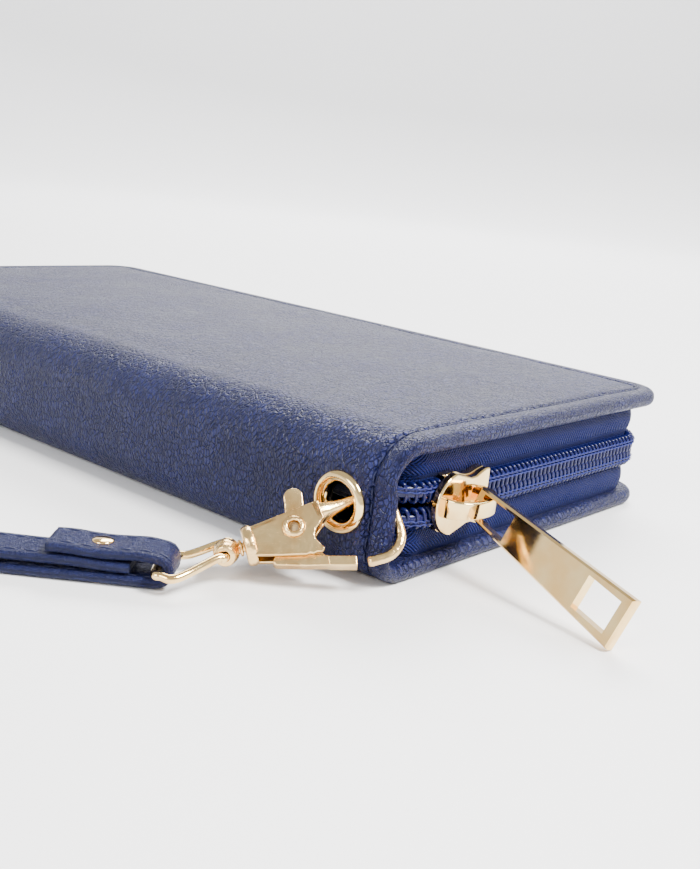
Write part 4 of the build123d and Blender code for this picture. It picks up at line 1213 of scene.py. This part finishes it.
def soft_sheet(name, lo, hi, body, slot_name, nodes=(), hem=0.0, seam=None, corner=2.0):
    """Thin padded sheet with soft rounded edges, gentle waves, a folded hem on its +Y edge and a stitched seam."""
    lo, hi = np.asarray(lo, float), np.asarray(hi, float)
    size = hi - lo
    flat_axis = int(np.argmin(size))
    a, b = [i for i in range(3) if i != flat_axis]
    us, vs = spaced(lo[a], hi[a], 5.0), spaced(lo[b], hi[b], 5.0)
    u, v = np.meshgrid(us, vs, indexing="ij")
    du = np.minimum(u - lo[a], hi[a] - u)
    dv = np.minimum(v - lo[b], hi[b] - v)
    d = np.minimum(du, dv)
    thick = size[flat_axis] / 2
    soft = min(0.9, 1.5 * thick)
    half = thick * (1 - 0.999 * np.clip(1 - d / soft, 0, 1) ** 2.4) ** (1 / 2.4) * 0.9
    wave = 0.1 * thick * np.sin(u * 0.21 + lo[flat_axis]) * np.sin(v * 0.17 + 1.0)
    channel = 0.25 * thick * np.exp(-((d - 2.0) / 0.35) ** 2) if seam else 0 * d
    fold = 0.18 * thick * ((hi[b] - v) > hem) if hem else 0 * d
    cu, cv = np.clip(u, lo[a] + corner, hi[a] - corner), np.clip(v, lo[b] + corner, hi[b] - corner)
    away = np.hypot(u - cu, v - cv)
    pull_in = np.where((du < corner) & (dv < corner) & (away > corner), corner / np.maximum(away, 1e-6), 1.0)
    u2, v2 = cu + (u - cu) * pull_in, cv + (v - cv) * pull_in
    centre = (lo[flat_axis] + hi[flat_axis]) / 2
    layers = []
    for sign in (1, -1):
        points = np.zeros(u.shape + (3,))
        points[..., a], points[..., b] = u2, v2
        points[..., flat_axis] = centre + wave * np.clip(d, 0, 1) + sign * np.maximum(half - channel - fold, 0.02)
        layers.append(points.reshape(-1, 3))
    faces = closed_sheet_faces(*u.shape)
    if (a, b) == (0, 2):
        faces = [f[::-1] for f in faces]
    uv = np.concatenate([np.stack([u2.ravel(), v2.ravel()], 1)] * 2)
    piece = mesh(name, np.concatenate(layers), faces, BY_SLOT[slot_name], uv)
    place(piece, body, slot_name, *nodes)
    if seam:
        stitch_seam(name + "_seam", lo, hi, a, b, flat_axis, centre, thick * 0.86, seam, body, slot_name)


def stitch_seam(name, lo, hi, a, b, flat_axis, centre, height, seam, body, slot_name):
    """Stitches on both faces along the edges named in seam: low or high side of each direction."""
    parts = []
    inset, pitch, length = 2.0, 3.2, 2.2
    lines = {"-u": (b, a, lo[a] + inset), "+u": (b, a, hi[a] - inset), "-v": (a, b, lo[b] + inset),
             "+v": (a, b, hi[b] - inset)}
    for along, fixed, value in (lines[edge] for edge in seam):
        for start in np.arange(lo[along] + 3, hi[along] - 4, pitch):
            for sign in (1, -1):
                line = np.zeros((3, 3))
                line[:, along] = start + np.array([0, length / 2, length])
                line[:, fixed] = value
                line[:, flat_axis] = centre + sign * (height - np.array([0.12, 0.0, 0.12]))
                up = np.zeros(3)
                up[flat_axis] = sign
                parts.append(tube_parts(line, circle(0.16, 5), up=up))
    verts, faces = join_parts(parts)
    place(mesh(name, verts, faces, thread), body, slot_name)


def make_inside():
    for name, body, seam in (("bottom_board", "base", None), ("bottom_lining", "base", ("-u", "+u", "+v")),
                             ("top_board", "lid", None), ("top_lining", "lid", ("-u", "+u", "+v")),
                             ("spine_board", "base", None), ("spine_lining", "base", ("-v", "+v")),
                             ("card_panel_lower", "base", ("-u", "+u", "+v")),
                             ("card_panel_upper", "lid", ("-u", "+u", "+v")),
                             ("coin_panel_lower", "coin_pocket", ("-u", "+u", "-v")),
                             ("coin_panel_upper", "coin_pocket", ("-u", "+u", "-v"))):
        lo, hi = box_of(name)
        soft_sheet("soft_" + name, lo, hi, body, ROWS[name]["material_slot"], (name,), seam=seam)
    for side, body in (("lower", "base"), ("upper", "lid")):
        for tier in range(1, 5):
            name = f"card_pocket_{side}_{tier}"
            lo, hi = box_of(name)
            slot_name = ROWS[name]["material_slot"]
            left_hi, right_lo = hi.copy(), lo.copy()
            left_hi[0], right_lo[0] = -0.6, 0.6
            soft_sheet(f"{name}_left", lo, left_hi, body, slot_name, (name,), hem=3.0, seam=("-u", "+v"))
            soft_sheet(f"{name}_right", right_lo, hi, body, slot_name, (), hem=3.0, seam=("+u", "+v"))
    make_coin_edge()
    for side in ("left", "right"):
        make_gusset(f"gusset_{side}", 1 if side == "right" else -1)


def make_coin_edge():
    """Bound edge of the coin pocket, its small tapes and its coil."""
    lo, hi = box_of("coin_pocket_binding")
    z = (lo[2] + hi[2]) / 2
    half_x, near, far = hi[0] - 0.5, lo[1] + 0.5, hi[1]
    side = [(half_x, far, z), (half_x, 0, z), (half_x, near + 3, z), (half_x - 0.9, near + 0.9, z),
            (half_x - 3, near, z)]
    line = side + [(0, near, z)] + [(-x, y, level) for x, y, level in side[::-1]]
    path = smooth_path(line, 10)
    verts, faces = tube_parts(path, rounded_box(1.0, hi[2] - lo[2] - 0.05, 0.4, 3))
    slot_name = ROWS["coin_pocket_binding"]["material_slot"]
    place(mesh("bound_edge", verts, faces, BY_SLOT[slot_name]), "coin_pocket", slot_name, "coin_pocket_binding")
    lo, hi = box_of("coin_zip_tapes")
    for k, (z0, z1) in enumerate(((lo[2], lo[2] + 0.6), (hi[2] - 0.6, hi[2]))):
        soft_sheet(f"coin_tape_{k}", (lo[0], lo[1], z0), (hi[0], hi[1], z1), "coin_pocket", "zip_tape",
                   ("coin_zip_tapes",) if k == 0 else (), corner=0.5)
    lo, hi = box_of("coin_zip_coil")
    middle, half = (lo + hi) / 2, (hi - lo) / 2
    steps = np.linspace(0, 2 * math.pi, 10, endpoint=False)
    turns = []
    for k, x in enumerate(np.arange(lo[0] + 0.5, hi[0] - 0.5, 1.15)):
        lean = 0.25 if k % 2 else -0.25
        loop = np.column_stack([x + lean * np.sin(steps), middle[1] + (half[1] - 0.25) * np.cos(steps),
                                middle[2] + (half[2] - 0.25) * np.sin(steps)])
        verts, faces = tube_parts(loop, circle(0.25, 5), up=(1, 0, 0), closed=True)
        turns.append((verts, faces))
    verts, faces = join_parts(turns)
    place(mesh("coin_coil_turns", verts, faces, coil_nylon), "coin_pocket", "zip_coil", "coin_zip_coil")


def make_gusset(name, side):
    """Pleated side gusset, soft at every fold."""
    lo, hi = box_of(name)
    v = np.linspace(0, 1, 41)
    inner, outer = (lo[0] + 0.35, hi[0] - 0.5) if side > 0 else (hi[0] - 0.35, lo[0] + 0.5)
    fold = 0.5 - 0.5 * np.cos(v * 4 * math.pi)
    x = inner + (outer - inner) * fold
    z = lo[2] + (hi[2] - lo[2]) * v
    ys = np.linspace(lo[1], hi[1], 36)
    layers = []
    for shift in (0.0, 0.42 * side):
        points = np.zeros((len(ys), len(v), 3))
        wave = 0.15 * side * np.sin(ys * 0.3)[:, None] * np.sin(v * math.pi)[None] ** 2 * 0.5
        points[..., 0] = x[None] + shift + wave
        points[..., 1] = ys[:, None]
        points[..., 2] = z[None]
        layers.append(points.reshape(-1, 3))
    faces = closed_sheet_faces(len(ys), len(v))
    slot_name = ROWS[name]["material_slot"]
    piece = mesh("pleated_" + name, np.concatenate(layers), faces, BY_SLOT[slot_name])
    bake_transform(piece)
    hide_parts(name)


# ---------------------------------------------------------------- build
paint_frame()
make_camera()
make_studio()
make_leather()
make_zip()
make_clasp()
make_rivet()
make_gate()
make_swivel()
make_eyelet()
make_slider()
dress_pull()
make_strap()
make_inside()
